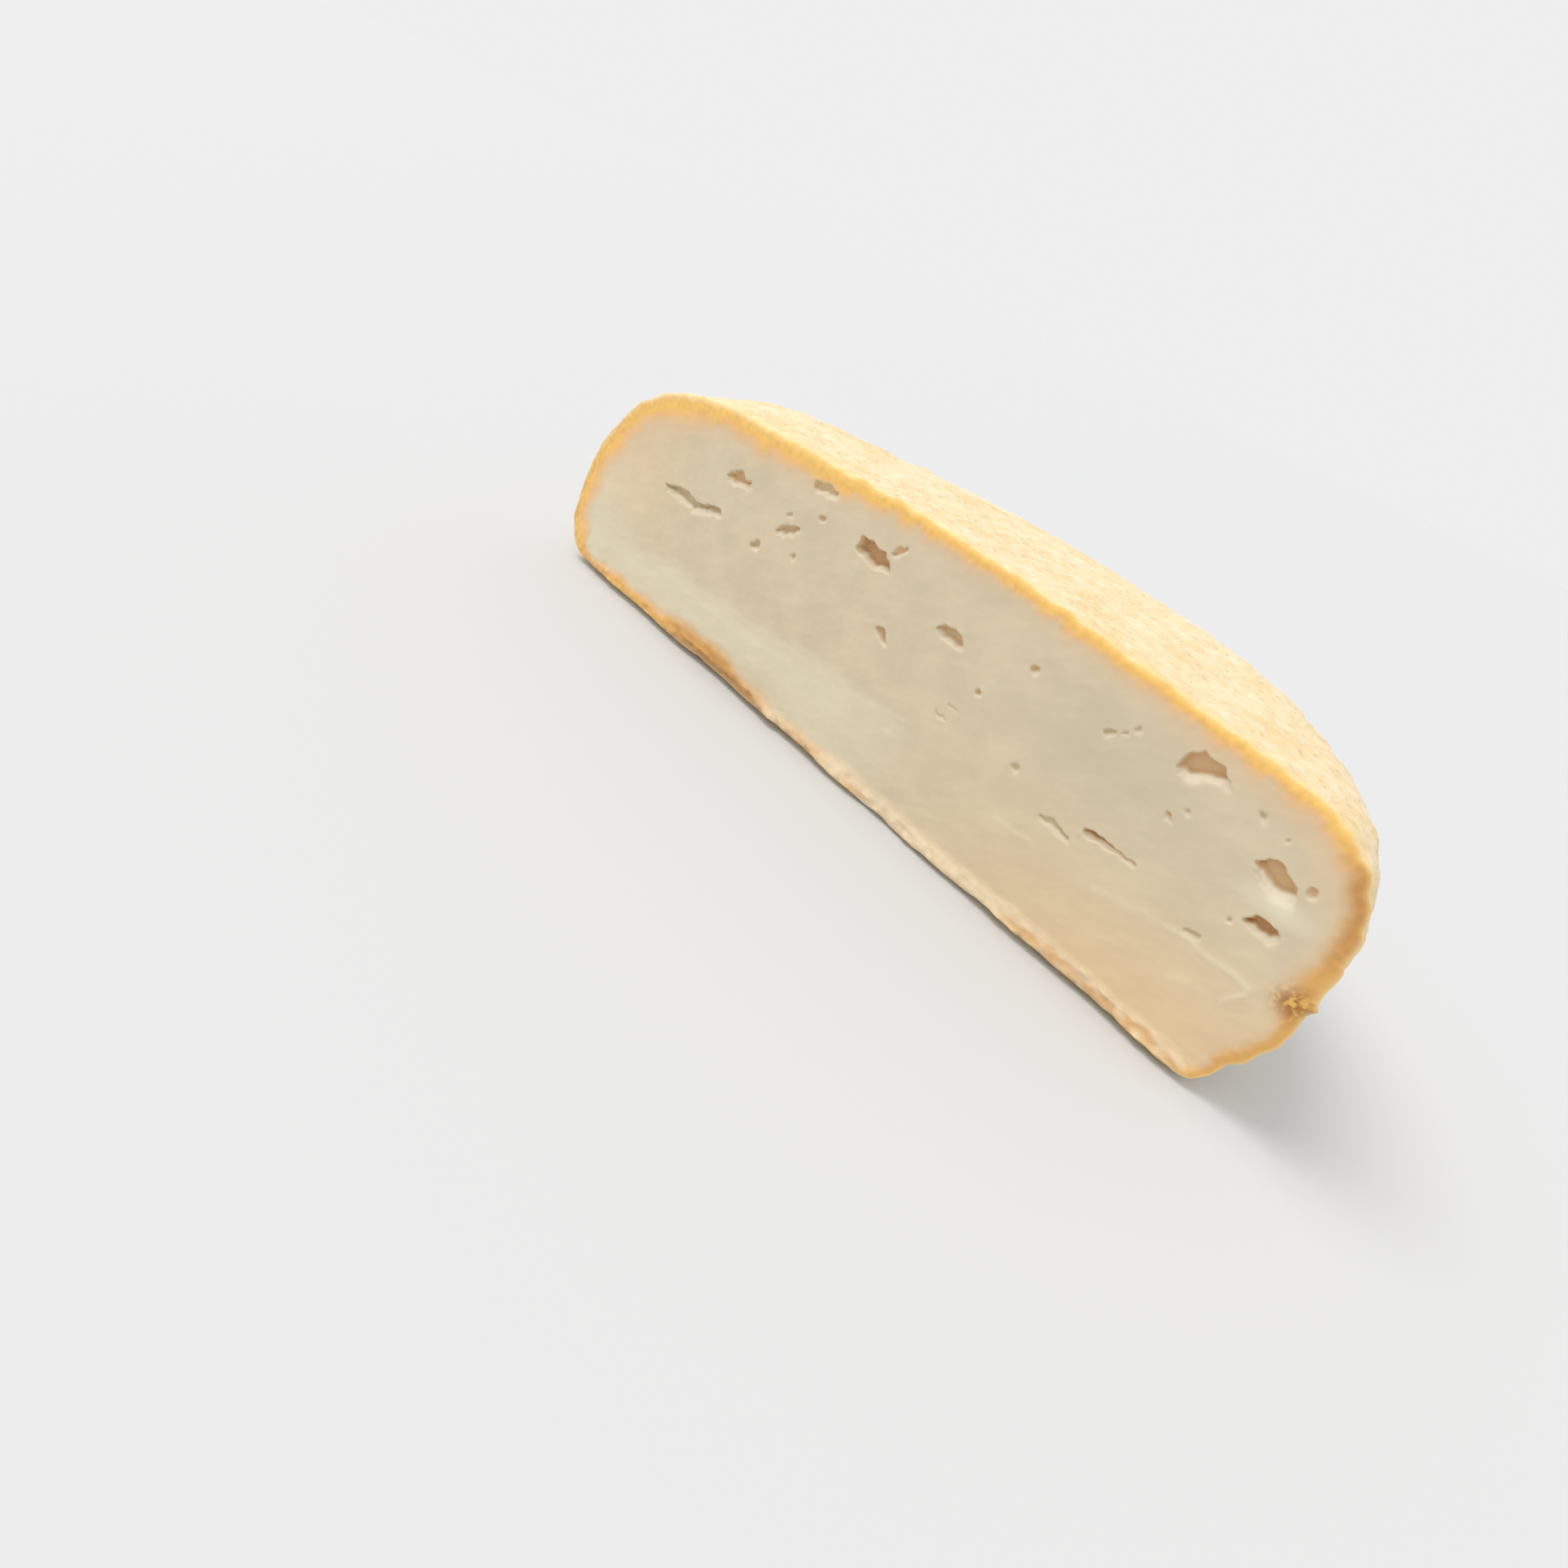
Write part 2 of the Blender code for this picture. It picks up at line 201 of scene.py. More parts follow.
@dataclass(frozen=True)
class WheelShape:
    """The pressed wheel: sizes in millimetres and the unevenness of a cheese made by hand."""

    radius: float = 90.0
    height: float = 51.4
    top_dome: float = 0.098
    right_end: EndProfile = EndProfile(0.940, 0.167, 13.9, 2.92, 1.05, 2.4)
    left_end: EndProfile = EndProfile(0.940, 0.117, 7.812, 1.61, 1.577, 4.5)
    dense_step: float = 0.1
    dense_points: int = 4000
    base_ring: float = 76.0
    base_spot_radius: float = 78.3
    base_spot_degrees: tuple[float, ...] = (5.0, 50.0, 90.0, 130.0, 175.0)
    base_gap: float = 0.03
    base_dish: float = 0.15
    base_dish_reach: float = 25.0
    base_edge_slope: float = 0.13
    base_blend: float = 3.0
    plan_wobble: float = 0.5
    plan_waves: tuple[tuple[float, int, float], ...] = ((0.6, 2, 0.4), (0.4, 3, 1.9))
    top_wave: float = 0.35
    side_wave: float = 0.4
    side_waves: tuple[tuple[float, int, float], ...] = ((0.5, 7, 0.8), (0.3, 11, 2.6), (0.2, 17, 4.0))
    rim_crinkle: float = 0.55
    crinkle_waves: tuple[tuple[float, int, float], ...] = ((0.45, 13, 0.3), (0.3, 23, 1.1), (0.25, 31, 2.7))
    rim_crinkle_reach: float = 6.0
    lip_out: float = 1.1
    lip_height: float = 1.2
    lip_reach: float = 1.6
    cut_wave: float = 0.25
    crest_rise: float = 2.4
    crest_x: float = -54.0
    crest_y: float = 20.0
    crest_reach: float = 19.0
    crest_start: float = 7.0
    centre_x: float = -0.269
    centre_y: float = -44.27

    def outline(self, end: EndProfile) -> np.ndarray:
        """Trace one end's profile from the middle of the top to the base ring.

        Args:
            end: which end of the cut.

        Returns:
            Rows of (distance from the axis, height), closely spaced.
        """
        turn = np.linspace(0.0, math.pi / 2, self.dense_points)
        top = self.height / self.radius
        out = np.sin(turn) ** (2 / end.top_fullness)
        rise = np.cos(turn) ** (2 / end.shoulder_fullness)
        up = end.widest_height + (top - end.widest_height) * rise * (1 - self.top_dome * out**2)
        foot_out = end.base_radius + (1 - end.base_radius) * np.cos(turn) ** (2 / end.foot_fullness)
        foot_up = end.widest_height * (1 - np.sin(turn) ** (2 / end.foot_fullness))
        points = np.concatenate([
            np.column_stack([out, up]),
            np.column_stack([foot_out, foot_up])[1:],
            [[0.0, 0.0]],
        ])
        soft = self.softened(points * self.radius, end.softening)
        past_widest = np.arange(len(soft)) > soft[:, 0].argmax()
        last = int(np.flatnonzero(past_widest & (soft[:, 0] <= self.base_ring))[0])
        soft = soft[: last + 1]
        soft[-1, 0] = self.base_ring
        return soft

    def softened(self, points: np.ndarray, softening: float) -> np.ndarray:
        """Round off a profile, as a soft cheese settles.

        Args:
            points: rows of (distance from the axis, height).
            softening: reach of the rounding, in millimetres.

        Returns:
            The rounded profile at even steps.
        """
        run = run_along(points)
        even = np.arange(0.0, run[-1], self.dense_step)
        line = np.column_stack([np.interp(even, run, points[:, axis]) for axis in (0, 1)])
        reach = round(4 * softening / self.dense_step)
        offsets = np.arange(-reach, reach + 1) * self.dense_step
        weights = np.exp(-(offsets**2) / (2 * softening**2))
        weights = weights / weights.sum()
        mirror = np.array([-1.0, 1.0])
        before = line[reach:0:-1] * mirror
        after = line[-2 : -2 - reach : -1] * mirror
        padded = np.concatenate([before, line, after])
        soft = np.column_stack([np.convolve(padded[:, axis], weights, mode="valid") for axis in (0, 1)])
        soft[0, 0] = 0.0
        return soft

    def rows(self, step: float) -> tuple[np.ndarray, np.ndarray, np.ndarray]:
        """Pick matching rows on both end profiles.

        Args:
            step: distance between rows along the right-hand profile.

        Returns:
            Right rows, left rows and how far along the surface each row lies from the middle of the top.
        """
        picked = []
        for end in (self.right_end, self.left_end):
            line = self.outline(end)
            run = run_along(line)
            if not picked:
                count = round(run[-1] / step)
                length = run[-1]
            wanted = np.linspace(0.0, run[-1], count)
            picked.append(np.column_stack([np.interp(wanted, run, line[:, axis]) for axis in (0, 1)]))
        return picked[0], picked[1], np.linspace(0.0, length, count)

    def base_height(self, x: np.ndarray, y: np.ndarray) -> np.ndarray:
        """How far the base stands above the board at a place.

        Args:
            x: places along the cut.
            y: places away from the cut.

        Returns:
            Heights in millimetres.
        """
        turns = np.radians(self.base_spot_degrees)
        spots = self.base_spot_radius * np.column_stack([np.cos(turns), np.sin(turns)])
        outside = np.full(np.shape(x), -self.radius)
        for start, end in zip(spots, np.roll(spots, -1, axis=0)):
            along = (end - start) / np.linalg.norm(end - start)
            outside = np.maximum(outside, (x - start[0]) * along[1] - (y - start[1]) * along[0])
        hollow = 1 - np.exp(np.minimum(outside, 0) / self.base_dish_reach)
        dish = self.base_gap + self.base_dish * hollow
        return np.where(outside > 0, self.base_edge_slope * outside + self.base_gap, dish)

    def place(self, right: np.ndarray, left: np.ndarray, angle: np.ndarray) -> np.ndarray:
        """Put profile rows round the wheel.

        Args:
            right: rows of the right-hand profile.
            left: matching rows of the left-hand profile.
            angle: angles round the axis, from the right end of the cut to the left.

        Returns:
            Grid of points, rows by angles by three.
        """
        share = (1 - np.cos(angle))[None, :] / 2
        out = right[:, :1] * (1 - share) + left[:, :1] * share
        up = right[:, 1:] * (1 - share) + left[:, 1:] * share
        turn = np.broadcast_to(angle[None, :], out.shape)
        rim = (out / self.radius) ** 3
        level = np.clip(up / self.height, 0, 1)
        plan = self.plan_wobble * np.abs(np.sin(turn)) * sum_of_waves(turn, self.plan_waves)
        # The waves of the side lean as they climb, so that they don't run straight up it.
        lean = np.cos(2.4 * level + 1.2 * np.sin(4 * turn + 0.2))
        side = self.side_wave * sum_of_waves(turn, self.side_waves) * np.sin(math.pi * level) * lean
        crinkle = self.rim_crinkle * sum_of_waves(turn, self.crinkle_waves)
        crinkle = crinkle * np.exp(-up / self.rim_crinkle_reach)
        out = out + rim * (plan + side + crinkle)
        x = out * np.cos(turn)
        y = np.maximum(out * np.sin(turn), 0.0)
        swell = np.sin(x / 19 + 1.3) * np.cos(y / 23 + 0.4) + 0.6 * np.sin(x / 11 - y / 13 + 0.7)
        up = up + self.top_wave * swell * level**4
        crest = np.exp(-(((x - self.crest_x) ** 2 + (y - self.crest_y) ** 2) / self.crest_reach**2))
        up = up + self.crest_rise * crest * (1 - np.exp(-y / self.crest_start)) * level**2
        up = up + self.base_height(x, y) * np.exp(-up / self.base_blend)
        return np.stack([x, y, up], axis=-1)

    def cut_depth(self, x: np.ndarray, z: np.ndarray) -> np.ndarray:
        """Where the knife ran: faint waves, and the lip of rind pushed out at the foot.

        Args:
            x: places along the cut.
            z: heights.

        Returns:
            Depths behind the plane of the cut, less than nothing in front of it.
        """
        wave = self.cut_wave * (0.6 * np.sin(x / 27 + 0.9) + 0.4 * np.sin(x / 12 + z / 15))
        ragged = 0.55 + 0.25 * np.sin(x / 3.9 + 0.5) + 0.2 * np.sin(x / 7.3 + 2.2)
        lip = self.lip_out * ragged * np.exp(-(((z - self.lip_height) / self.lip_reach) ** 2))
        return wave - lip


# Eyes in the paste


class Tone(Enum):
    """How dark the inside of an eye is painted: painted shade in the hollow."""

    FAINT = 0.35
    PALE_TAN = 0.55
    TAN = 0.7
    BROWN = 0.88
    DEEP = 1.0


# Side of each eye on which its lip is pressed over, as a way along the cut and up it.
LIP_SIDE = np.array([0.61, -0.79])


@dataclass(frozen=True)
class StrokeEye:
    """Round, long or bent opening: the points (x, z, half width) of its middle line, in millimetres."""

    line: tuple[tuple[float, float, float], ...]
    depth: float
    tone: Tone = Tone.TAN
    lip: float = 0.7

    def outside(self, x: np.ndarray, z: np.ndarray) -> np.ndarray:
        """Distance outside the opening's edge.

        Args:
            x: places along the cut.
            z: heights.

        Returns:
            Distances in millimetres, less than nothing inside.
        """
        nearest = np.full(np.shape(x), FAR)
        for (*start, start_width), (*end, end_width) in zip(self.line, self.line[1:]):
            share, gap = from_stretch(x, z, start, end)
            nearest = np.minimum(nearest, gap - (start_width + (end_width - start_width) * share))
        return nearest

    def middle(self) -> tuple[float, float]:
        """Middle of the opening."""
        return middle_of(self.line)


@dataclass(frozen=True)
class TornEye:
    """Opening torn along straight edges: its corners (x, z) and how far it is rounded out past them."""

    corners: tuple[tuple[float, float], ...]
    depth: float
    tone: Tone = Tone.TAN
    lip: float = 1.3
    rounding: float = 0.35

    def outside(self, x: np.ndarray, z: np.ndarray) -> np.ndarray:
        """Distance outside the opening's edge.

        Args:
            x: places along the cut.
            z: heights.

        Returns:
            Distances in millimetres, less than nothing inside.
        """
        nearest = np.full(np.shape(x), FAR)
        for start, end in zip(self.corners, self.corners[1:] + self.corners[:1]):
            nearest = np.minimum(nearest, from_stretch(x, z, start, end)[1])
        inside = inside_loop(np.column_stack([x, z]), np.array(self.corners))
        return np.where(inside, -nearest, nearest) - self.rounding

    def middle(self) -> tuple[float, float]:
        """Middle of the opening."""
        return middle_of(self.corners)


def small_eye(
    x: float, z: float, length: float, width: float, turn: float, depth: float, tone: Tone
) -> StrokeEye:
    """Shape a small eye from its measures.

    Args:
        x: place along the cut.
        z: height.
        length: length of the opening.
        width: width of the opening.
        turn: slope of its length, in degrees.
        depth: depth of the opening.
        tone: how dark it is painted inside, as painted shade.

    Returns:
        The eye, a little fuller on one side of its middle.
    """
    reach = max(length - width, 0.3) / 2
    dx, dz = reach * math.cos(math.radians(turn)), reach * math.sin(math.radians(turn))
    line = (
        (x - dx, z - dz, width * 0.36),
        (x - dx * 0.1 + dz * 0.12, z - dz * 0.1 - dx * 0.12, width * 0.5),
        (x + dx, z + dz, width * 0.3),
    )
    return StrokeEye(line, depth, tone, lip=min(0.8, 0.35 + width * 0.25))


EYES = (
    StrokeEye(
        ((-62.8, 28.5, 0.3), (-60.0, 28.8, 0.8), (-56.6, 29.2, 1.15), (-53.4, 28.6, 1.0),
         (-51.2, 29.2, 0.6), (-48.4, 30.2, 0.75), (-45.7, 30.8, 0.45)),
        2.2, Tone.FAINT, 0.9,
    ),
    TornEye(
        ((-47.0, 38.0), (-44.6, 37.9), (-40.8, 39.0), (-42.6, 39.2), (-44.0, 40.0), (-45.6, 39.7)),
        2.4, Tone.TAN, 0.9, 0.3,
    ),
    TornEye(
        ((-26.2, 45.6), (-21.0, 46.4), (-20.6, 47.0), (-23.6, 47.1), (-26.0, 46.5)),
        1.2, Tone.PALE_TAN, 0.9, 0.3,
    ),
    TornEye(
        ((-30.6, 34.7), (-28.4, 35.2), (-26.0, 37.3), (-27.6, 36.9), (-29.4, 35.9)),
        1.9, Tone.PALE_TAN, 0.7, 0.35,
    ),
    TornEye(
        ((-12.0, 40.8), (-8.6, 39.9), (-6.0, 40.1), (-4.4, 40.8), (-6.2, 42.4), (-9.6, 43.0), (-11.8, 42.7)),
        3.2, Tone.BROWN, 0.6, 0.35,
    ),
    StrokeEye(((-4.6, 43.4, 0.4), (-3.6, 44.6, 0.65), (-2.7, 45.6, 0.35)), 1.1, Tone.TAN, 0.6),
    StrokeEye(((-0.9, 30.6, 0.45), (0.4, 30.1, 0.85), (1.7, 29.3, 0.5)), 1.8, Tone.TAN, 0.7),
    TornEye(
        ((9.8, 37.1), (12.0, 36.7), (15.2, 36.8), (14.6, 37.8), (12.8, 38.4), (11.0, 38.1)),
        2.4, Tone.PALE_TAN, 0.6, 0.35,
    ),
    StrokeEye(((42.8, 21.2, 0.35), (45.0, 21.5, 0.6), (48.2, 20.8, 0.4)), 0.9, Tone.FAINT, 0.7),
    StrokeEye(
        ((49.9, 23.9, 0.45), (51.6, 24.2, 0.6), (54.2, 24.4, 0.35), (58.8, 24.5, 0.16)),
        2.2, Tone.DEEP, 0.5,
    ),
    TornEye(
        ((55.2, 41.2), (57.2, 41.0), (59.8, 42.8), (62.2, 43.4), (60.8, 44.5), (57.2, 44.8), (55.7, 43.8)),
        2.8, Tone.TAN, 1.1, 0.25,
    ),
    TornEye(
        ((71.7, 36.1), (73.4, 35.5), (75.3, 34.3), (78.2, 35.1), (77.4, 36.4), (74.1, 38.0), (72.9, 37.7)),
        2.8, Tone.TAN, 1.7, 0.25,
    ),
    TornEye(
        ((75.9, 28.1), (79.2, 28.0), (80.1, 28.7), (79.6, 29.7), (76.4, 29.5)),
        2.2, Tone.DEEP, 0.9, 0.25,
    ),
    small_eye(-21.7, 41.6, 1.9, 1.3, 25, 1.1, Tone.TAN),
    small_eye(-29.1, 38.6, 2.0, 1.1, 26, 0.7, Tone.FAINT),
    small_eye(-34.3, 29.8, 3.2, 1.5, 38, 1.4, Tone.PALE_TAN),
    small_eye(-24.7, 32.3, 1.8, 1.3, 27, 0.8, Tone.FAINT),
    small_eye(28.8, 40.9, 2.0, 1.3, -20, 1.2, Tone.TAN),
    small_eye(22.3, 32.2, 1.8, 1.3, 36, 1.1, Tone.TAN),
    small_eye(18.4, 24.5, 3.0, 0.6, -2, 0.35, Tone.FAINT),
    small_eye(19.6, 27.1, 2.6, 0.6, -4, 0.3, Tone.FAINT),
    small_eye(44.3, 39.4, 2.2, 1.0, 37, 0.9, Tone.FAINT),
    small_eye(46.3, 40.8, 1.4, 0.8, 37, 0.6, Tone.FAINT),
    small_eye(47.6, 42.4, 1.5, 1.0, 36, 0.6, Tone.FAINT),
    small_eye(34.6, 25.4, 2.2, 1.4, 6, 0.8, Tone.FAINT),
    small_eye(58.5, 33.9, 1.6, 0.9, -28, 1.0, Tone.TAN),
    small_eye(60.4, 36.4, 1.2, 0.8, 42, 0.6, Tone.FAINT),
    small_eye(68.6, 42.2, 2.0, 1.1, -50, 0.8, Tone.FAINT),
    small_eye(79.6, 37.2, 2.0, 1.1, -50, 1.1, Tone.TAN),
    small_eye(73.8, 26.9, 1.3, 0.9, 60, 0.7, Tone.FAINT),
    small_eye(71.3, 21.3, 3.4, 1.1, 14, 0.8, Tone.FAINT),
    small_eye(73.1, 41.2, 1.3, 0.8, 57, 0.4, Tone.FAINT),
)


@dataclass(frozen=True)
class Drag:
    """Pale ridge that the knife dragged up: start, end, half width and height, in millimetres."""

    start: tuple[float, float]
    end: tuple[float, float]
    half_width: float
    height: float

    def strength(self, x: np.ndarray, z: np.ndarray) -> np.ndarray:
        """How much of the ridge is at a place.

        Args:
            x: places along the cut.
            z: heights.

        Returns:
            One on the ridge's line, falling to nothing beside it and at its ends.
        """
        aside = from_stretch(x, z, self.start, self.end)[1]
        return np.exp(-((aside / self.half_width) ** 2))


DRAGS = (
    Drag((-66.0, 8.0), (-44.0, 11.5), 1.3, 0.03),
    Drag((-44.0, 11.5), (-24.0, 12.0), 1.0, 0.04),
    Drag((-42.0, 14.0), (-16.0, 16.2), 0.6, 0.03),
    Drag((-16.0, 16.2), (0.0, 17.4), 0.5, 0.03),
    Drag((-26.0, 22.5), (-19.0, 25.5), 0.9, 0.03),
    Drag((2.0, 17.2), (14.0, 19.4), 0.7, 0.04),
    Drag((10.0, 15.0), (16.0, 17.0), 0.9, 0.04),
    Drag((36.5, 15.4), (43.5, 16.4), 0.5, 0.08),
    Drag((54.0, 16.5), (68.0, 19.4), 0.7, 0.04),
    Drag((68.0, 19.7), (75.3, 20.1), 0.4, 0.10),
    Drag((75.3, 20.1), (81.9, 19.7), 0.45, 0.16),
    Drag((81.9, 19.7), (81.0, 15.3), 0.5, 0.14),
    Drag((79.0, 14.4), (74.0, 13.8), 0.9, 0.05),
)


# Width of the brown band at the right end of the cut, by height: heights, then widths.
RIGHT_BAND = (
    (0.0, 10.0, 16.0, 19.5, 22.3, 25.0, 29.0, 35.0, 41.0, 46.0),
    (1.0, 1.6, 1.6, 2.3, 3.4, 2.8, 2.5, 2.1, 2.0, 1.8),
)

# Yellow band under the top and the left side: places along the cut, widths, and how far it fades past them.
TOP_BAND = (
    (-92.0, -84.0, -60.0, -45.0, -30.0, -10.0, 10.0, 35.0, 70.0, 92.0),
    (3.9, 3.6, 3.6, 3.2, 2.7, 2.1, 1.7, 1.5, 1.6, 1.8),
    (4.6, 5.2, 6.0, 5.2, 4.2, 3.6, 3.6, 4.0, 5.4, 3.4),
)

# The foot of the cut: places along it, height of the lip, how pale it is, height of the sunk underside that
# is painted brown as painted shade, and how far its edge is torn up from the board.
FOOT_LIP = (
    (-82.0, -52.0, -43.0, -30.0, -22.0, -14.0, -2.0, 4.0, 14.0, 26.0, 45.0, 60.0, 82.0),
    (2.6, 3.0, 5.0, 5.2, 3.8, 3.0, 3.2, 3.8, 3.7, 3.7, 4.3, 4.2, 3.4),
    (0.0, 0.0, 0.0, 0.0, 0.1, 0.8, 0.5, 1.0, 1.0, 1.0, 1.0, 1.0, 0.9),
    (-0.4, -0.2, 1.7, 1.8, 1.9, 0.6, 0.5, -0.8, -0.8, -0.8, 0.1, 0.1, -0.3),
    (0.6, 0.7, 0.8, 0.8, 0.8, 0.6, 0.8, -0.3, -0.8, -0.9, 0.4, 0.4, 0.2),
)


# Cut face


@dataclass
class CutFace:
    """The paste that the knife laid bare, inside the cut edge of the rind."""

    grid_step: float = 0.58
    fine_step: float = 0.26
    fine_reach: float = 1.0
    stroke_reach: float = 9.0
    torn_reach: float = 6.5
    coarse_clear: float = 0.75
    edge_clear: float = 0.45
    least_gap: float = 0.7
    wall: float = 0.75
    wall_least: float = 0.35
    wall_growth: float = 0.15
    brink: float = 0.12
    sink: float = 0.7
    bevel_sink: float = 0.42
    bevel_ease: tuple[float, float] = (0.25, -0.35)
    bevel_fade: float = 1.6
    tint_ease: tuple[float, float] = (0.22, -0.34)
    tear_across: Ripple = Ripple(2.6, 31, 0.13)
    tear_up: Ripple = Ripple(2.6, 32, 0.13)
    curd: Ripple = Ripple(7.5, 33, 0.035)
    fine_curd: Ripple = Ripple(2.6, 34, 0.012)
    smears: Ripple = Ripple(2.2, 35, 0.014)
    smear_length: float = 0.16
    smear_way: tuple[float, float] = (0.97, 0.24)
    drag_across: Ripple = Ripple(7.0, 36, 0.4)
    drag_up: Ripple = Ripple(9.0, 37, 0.16)
    drag_full: float = 0.14
    rough_edge: Ripple = Ripple(1.8, 38, 0.07)
    lip_wave: Ripple = Ripple(9.0, 39, 0.25)
    rib_pitch: float = 1.3
    rib_height: float = 0.07
    rib_drift: Ripple = Ripple(14.0, 39)
    lip_grit: Ripple = Ripple(2.2, 40, 0.10)
    lip_swell: float = 0.30
    pale_swell: float = 0.15
    under_sink: float = 0.5
    clump: Spot = Spot(-15.0, 1.4, 3.0, 1.1)
    clump_height: float = 0.7
    points: np.ndarray = field(default_factory=lambda: np.zeros((0, 3)))
    faces: np.ndarray = field(default_factory=lambda: np.zeros((0, 3), int))

    def build(self, loop: np.ndarray) -> None:
        """Fill the loop with a mesh that is finer at the eyes.

        Args:
            loop: anticlockwise outline of the face as rows of (x, z).
        """
        low, high = loop.min(axis=0), loop.max(axis=0)
        coarse = self.hexagonal(low, high, self.grid_step)
        coarse = coarse[self.nearest_eye(coarse) > self.fine_reach * self.coarse_clear]
        fine = []
        for eye in EYES:
            x, z = eye.middle()
            reach = self.stroke_reach if isinstance(eye, StrokeEye) else self.torn_reach
            corners = np.array([[x - reach, z - reach], [x + reach, z + reach]])
            spread = self.hexagonal(*corners, self.fine_step)
            fine.append(spread[np.abs(eye.outside(spread[:, 0], spread[:, 1])) < self.fine_reach])
        inner = np.concatenate([coarse] + fine)
        inner = inner[inside_loop(inner, loop)]
        inner = inner[nearest_on_line(inner, loop)[0] > self.grid_step * self.edge_clear]
        inner = thinned(inner, self.fine_step * self.least_gap)
        self.points, self.faces = filled(loop, inner)

    def hexagonal(self, low: np.ndarray, high: np.ndarray, step: float) -> np.ndarray:
        """Staggered grid of points over a rectangle.

        Args:
            low: lowest corner.
            high: highest corner.
            step: distance between neighbours.

        Returns:
            Rows of (x, z).
        """
        across = np.arange(math.floor(low[0] / step), math.ceil(high[0] / step) + 1) * step
        rise = step * math.sqrt(3) / 2
        up = np.arange(math.floor(low[1] / rise), math.ceil(high[1] / rise) + 1)
        x, row = np.meshgrid(across, up)
        x = x + (row % 2) * step / 2
        return np.column_stack([x.ravel(), (row * rise).ravel()])

    def nearest_eye(self, places: np.ndarray) -> np.ndarray:
        """Distance from each place to the edge of the nearest eye."""
        return np.min([np.abs(eye.outside(places[:, 0], places[:, 1])) for eye in EYES], axis=0)

    def relief(
        self, x: np.ndarray, z: np.ndarray, edge: np.ndarray
    ) -> tuple[np.ndarray, dict[str, np.ndarray]]:
        """Depth of the face and what its colours follow.

        Args:
            x: places along the cut.
            z: heights.
            edge: distance from each place to the cut edge of the rind.

        Returns:
            Depths behind the knife's cut, and the named values for the paste's finish.
        """
        ragged_x = x + self.tear_across.at(x, z)
        ragged_z = z + self.tear_up.at(x, z)
        depth = np.zeros(len(x))
        hollow = np.zeros(len(x))
        lip = np.zeros(len(x))
        for eye in EYES:
            outside = eye.outside(ragged_x, ragged_z)
            wall = min(self.wall, self.wall_least + eye.depth * self.wall_growth)
            sunk = smooth_step(self.brink, -wall, outside)
            shifted = eye.outside(ragged_x - eye.lip * LIP_SIDE[0], ragged_z - eye.lip * LIP_SIDE[1])
            bevel = smooth_step(*self.bevel_ease, shifted) * (1 - sunk)
            bevel = bevel * smooth_step(eye.lip * self.bevel_fade, 0.0, outside)
            depth = np.maximum(depth, self.sink * eye.depth * (sunk + self.bevel_sink * bevel**1.5))
            # Each eye is painted darker inside by its tone: painted shade in the hollow.
            hollow = np.maximum(hollow, smooth_step(*self.tint_ease, outside) * eye.tone.value)
            # The bevel on each eye's lit side is also painted paler: a painted highlight on a real bevel.
            lip = np.maximum(lip, bevel * min(1.0, 0.4 + 0.22 * eye.depth))
        inside = smooth_step(1.0, 3.0, edge)
        curd = self.curd.at(x, z) + self.fine_curd.at(x, z * 1.3)
        # The blade's smears climb a little to the right and are much longer than wide.
        way_x, way_z = self.smear_way
        smears = self.smears.at((x * way_x + z * way_z) * self.smear_length, z * way_x - x * way_z)
        drag = np.zeros(len(x))
        raised = np.zeros(len(x))
        for ridge in DRAGS:
            strength = ridge.strength(x + self.drag_across.at(x, z), z + self.drag_up.at(x, z))
            drag = np.maximum(drag, strength * min(1.0, ridge.height / self.drag_full))
            raised = np.maximum(raised, strength * ridge.height)
        depth = depth + inside * (curd + smears) - raised
        rough = (1 - smooth_step(1.5, 3.5, edge)) * self.rough_edge.at(x, z)
        rough = rough - self.foot_swell(x, z) - self.clump_height * self.clump.at(x, z)
        values = {"hollow": hollow, "lip": lip, "drag": drag}
        return depth + rough * smooth_step(0.0, 0.6, edge), values

    def foot_swell(self, x: np.ndarray, z: np.ndarray) -> np.ndarray:
        """How far the lip along the foot stands out, with the ribs that the mould left on it.

        Args:
            x: places along the cut.
            z: heights.

        Returns:
            Distances in front of the knife's cut.
        """
        lip_top, pale, under = (np.interp(x, FOOT_LIP[0], row) for row in FOOT_LIP[1:4])
        lip_top = lip_top + self.lip_wave.at(x, 0 * x)
        ribs = self.rib_height * np.sin(z * 2 * math.pi / self.rib_pitch + self.rib_drift.at(x, z))
        ribs = ribs + self.lip_grit.at(x * 0.6, z)
        on_lip = smooth_step(lip_top + 0.5, lip_top - 0.4, z)
        sunk = self.under_sink * smooth_step(under + 1.3, under + 0.3, z)
        return (ribs + self.lip_swell + self.pale_swell * pale - sunk) * on_lip


def inside_loop(places: np.ndarray, loop: np.ndarray) -> np.ndarray:
    """Tell which places lie inside a closed outline.

    Args:
        places: rows of (x, z).
        loop: corners of the outline in order.

    Returns:
        True for each place that is inside.
    """
    inside = np.zeros(len(places), bool)
    x, z = places[:, 0], places[:, 1]
    for (ax, az), (bx, bz) in zip(loop, np.roll(loop, -1, axis=0)):
        if az == bz:
            continue
        inside ^= ((az > z) != (bz > z)) & (x < ax + (z - az) * (bx - ax) / (bz - az))
    return inside


